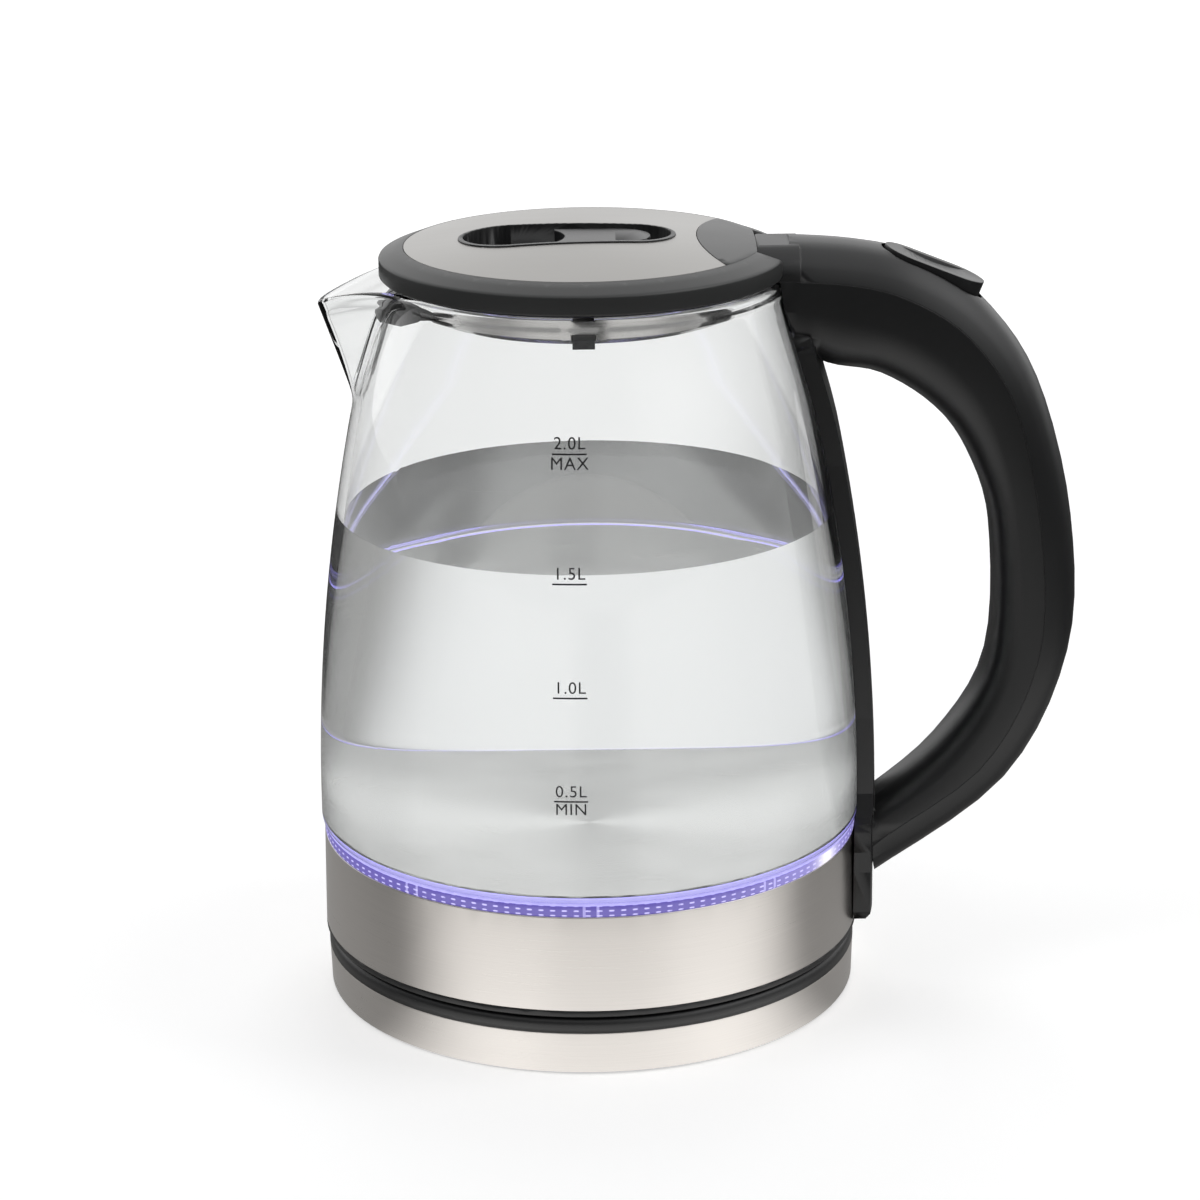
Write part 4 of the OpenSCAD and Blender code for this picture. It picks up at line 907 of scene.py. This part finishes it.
def jug_grid():
    """Rows up the outside, over the lip, down the inside and across the foot."""
    angle = jug_angles()
    away = (angle + np.pi) % (2 * np.pi) - np.pi
    top = lip_height(away)
    up = 1 - (1 - np.linspace(0, 1, WALL_ROWS)) ** CROWDING
    edge = LIP_RADIUS
    z_out = glass_z0 + edge + up[:, None] * (top - edge - glass_z0 - edge)[None, :]
    z_in = z_out[::-1]
    r_out = wall_radius(away, z_out, 0.0)
    off_spout = smooth_step((np.abs(away) - 0.5) / 0.2)
    bead = smooth_step((z_in - top + BEAD_DROP) / BEAD_FADE) * (0.5 + 0.5 * off_spout)
    r_in = wall_radius(away, z_in, GLASS["wall"]) - bead * BEAD
    turn = np.linspace(0, np.pi, 9)[1:-1, None]
    middle, half = (r_out[-1] + r_in[0]) / 2, (r_out[-1] - r_in[0]) / 2
    r_lip = middle + half * np.cos(turn)
    z_lip = z_out[-1] + edge * np.sin(turn)
    foot_mid, foot_half = (r_out[0] + r_in[-1]) / 2, (r_out[0] - r_in[-1]) / 2
    r_foot = foot_mid - foot_half * np.cos(turn)
    z_foot = z_out[0] - edge * np.sin(turn)
    radius = np.vstack([r_out, r_lip, r_in, r_foot])
    height = np.vstack([z_out, z_lip, z_in, z_foot])
    return np.stack([-radius * np.cos(angle), radius * np.sin(angle), height], axis=-1)


jug = mesh_from_grid("jug_glass_wall", jug_grid(), close_rows=True)
shade(jug.data, math.radians(60))
finish_piece(jug, "glass_jug", glass, "glass")
print("glass:", len(jug.data.polygons), "faces")

# %% [markdown]
# ## The water
# The jug is shown filled, and water is half of how a glass jug looks: it
# magnifies the turned plate and mirrors the lit ring. It isn't a piece of
# the kettle, so it stands for no node of the CAD model, but it rides on
# the jug. Its side reaches a little into the glass, because a gap of air
# between the two would show as a silver skin.

# %% Fill the jug
WATER_Z = 143.1 * MM
OVERLAP = 0.3 * MM       # by which the water reaches into the glass
PLATE_OVERLAP = 0.4 * MM     # and into the heating plate
CONTACT_RISE = 0.9 * MM      # height of the water's edge on the glass, over its level
MENISCUS_HEIGHT, MENISCUS_WIDTH = 1.1 * MM, 1.6 * MM
POINT = 1e-5             # metres: a row as small as this stands for a point
plate_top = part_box("heating_plate")[1].z


def water_grid(columns=192):
    """Rows from the middle of the bottom out, up the wall, over the meniscus and back to the
    middle. The meniscus is an exponential that falls off with the distance from the wall."""
    inside = GLASS["wall"] - OVERLAP
    angle = np.linspace(0, 2 * np.pi, columns, endpoint=False)
    wall_z = np.linspace(plate_top - PLATE_OVERLAP, WATER_Z + CONTACT_RISE, 60)
    wall_r = jug_radius(wall_z) - inside
    edge_r = wall_r[-1]
    back = np.linspace(0, 1, 24)[1:]
    top_r = edge_r * (1 - back**0.6)
    climb = MENISCUS_HEIGHT * np.exp(-(edge_r - top_r) / MENISCUS_WIDTH)
    radius = np.concatenate([[POINT], wall_r, np.maximum(top_r, POINT)])
    height = np.concatenate([[wall_z[0]], wall_z, WATER_Z + climb])
    return np.stack([radius[:, None] * np.cos(angle), radius[:, None] * np.sin(angle),
                     np.broadcast_to(height[:, None], (len(height), columns))], axis=-1)


water = mesh_from_grid("water", water_grid(), cap=True)
shade(water.data, math.radians(50))
water.data.materials.append(water_clear)
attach(water, "jug")
print("water level:", WATER_Z)

# %% [markdown]
# ## The volume scale
# The scale is printed on the glass in dark ink: plain numbers, with a
# line under each. Blender's text is flat, so each word is made a mesh,
# and its points are then wrapped round the glass: across becomes an
# angle, and up becomes a height on the wall.

# %% Print the scale
SCALE_ANGLE = math.radians(-90 - 3.7)
INK_LIFT = 0.06 * MM
TEXT_HEIGHT = 3.4 * MM
CAPITAL_SHARE = 0.73     # height of a capital over the font's size
LINE_WIDTH, LINE_THICKNESS = 9.4 * MM, 0.45 * MM
LINE_DROP = 1.3          # in millimetres, like the heights of the words
NUMBERS = [("2.0L", 177.9), ("1.5L", 143.4), ("1.0L", 112.3), ("0.5L", 83.2)]
LIMITS = [("MAX", 172.6), ("MIN", 78.1)]


def ink_finish():
    """Screen-printed ink: nearly black, slightly uneven in gloss."""
    material, graph = new_finish("scale_ink")
    wear = graph.noise(graph.place(), 1800.0, 2.0)
    graph.close(graph.node("ShaderNodeBsdfPrincipled", {}, {
        "Base Color": graph.mixed(wear, rgb(0.008, 0.008, 0.009), rgb(0.018, 0.018, 0.020)),
        "Roughness": wear * 0.2 + 0.4}))
    return material


def flat_text(words, height):
    """Points and faces of one line of text, centred on its origin."""
    curve = bpy.data.curves.new("words", "FONT")
    curve.body, curve.size = words, height / CAPITAL_SHARE
    curve.align_x = "CENTER"
    curve.space_character = 1.10
    holder = bpy.data.objects.new("words", curve)
    bpy.context.scene.collection.objects.link(holder)
    bpy.context.view_layer.update()
    mesh = bpy.data.meshes.new_from_object(holder)
    bpy.data.objects.remove(holder)
    return mesh


def wrap_on_glass(mesh, z):
    """Wraps a flat mesh round the jug: x becomes an angle, y a height."""
    flat = np.empty(len(mesh.vertices) * 3)
    mesh.vertices.foreach_get("co", flat)
    flat = flat.reshape(-1, 3)
    height = z + flat[:, 1]
    radius = jug_radius(height) + INK_LIFT
    angle = SCALE_ANGLE + flat[:, 0] / radius
    points = np.stack([radius * np.cos(angle), radius * np.sin(angle), height], axis=-1)
    mesh.vertices.foreach_set("co", points.ravel())
    mesh.update()
    return mesh


def flat_bar(width, height, pieces=12):
    """A flat bar in short pieces, so that it can follow the glass."""
    mesh = bpy.data.meshes.new("bar")
    x = np.linspace(-width / 2, width / 2, pieces + 1)
    points = [(a, b, 0) for b in (-height / 2, height / 2) for a in x]
    faces = [(i, i + 1, i + pieces + 2, i + pieces + 1) for i in range(pieces)]
    mesh.from_pydata(points, [], faces)
    return mesh


def print_scale():
    """Joins all words and lines into one piece."""
    parts = []
    for words, z in NUMBERS:
        parts.append(wrap_on_glass(flat_text(words, TEXT_HEIGHT), z * MM))
        parts.append(wrap_on_glass(flat_bar(LINE_WIDTH, LINE_THICKNESS), (z - LINE_DROP) * MM))
    for words, z in LIMITS:
        parts.append(wrap_on_glass(flat_text(words, TEXT_HEIGHT), z * MM))
    work = bmesh.new()
    for part in parts:
        work.from_mesh(part)
    mesh = bpy.data.meshes.new("volume_scale")
    work.to_mesh(mesh)
    work.free()
    obj = bpy.data.objects.new("volume_scale", mesh)
    bpy.context.scene.collection.objects.link(obj)
    obj.data.materials.append(ink_finish())
    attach(obj, "jug")
    return obj


scale = print_scale()
print("scale:", len(scale.data.polygons), "faces")
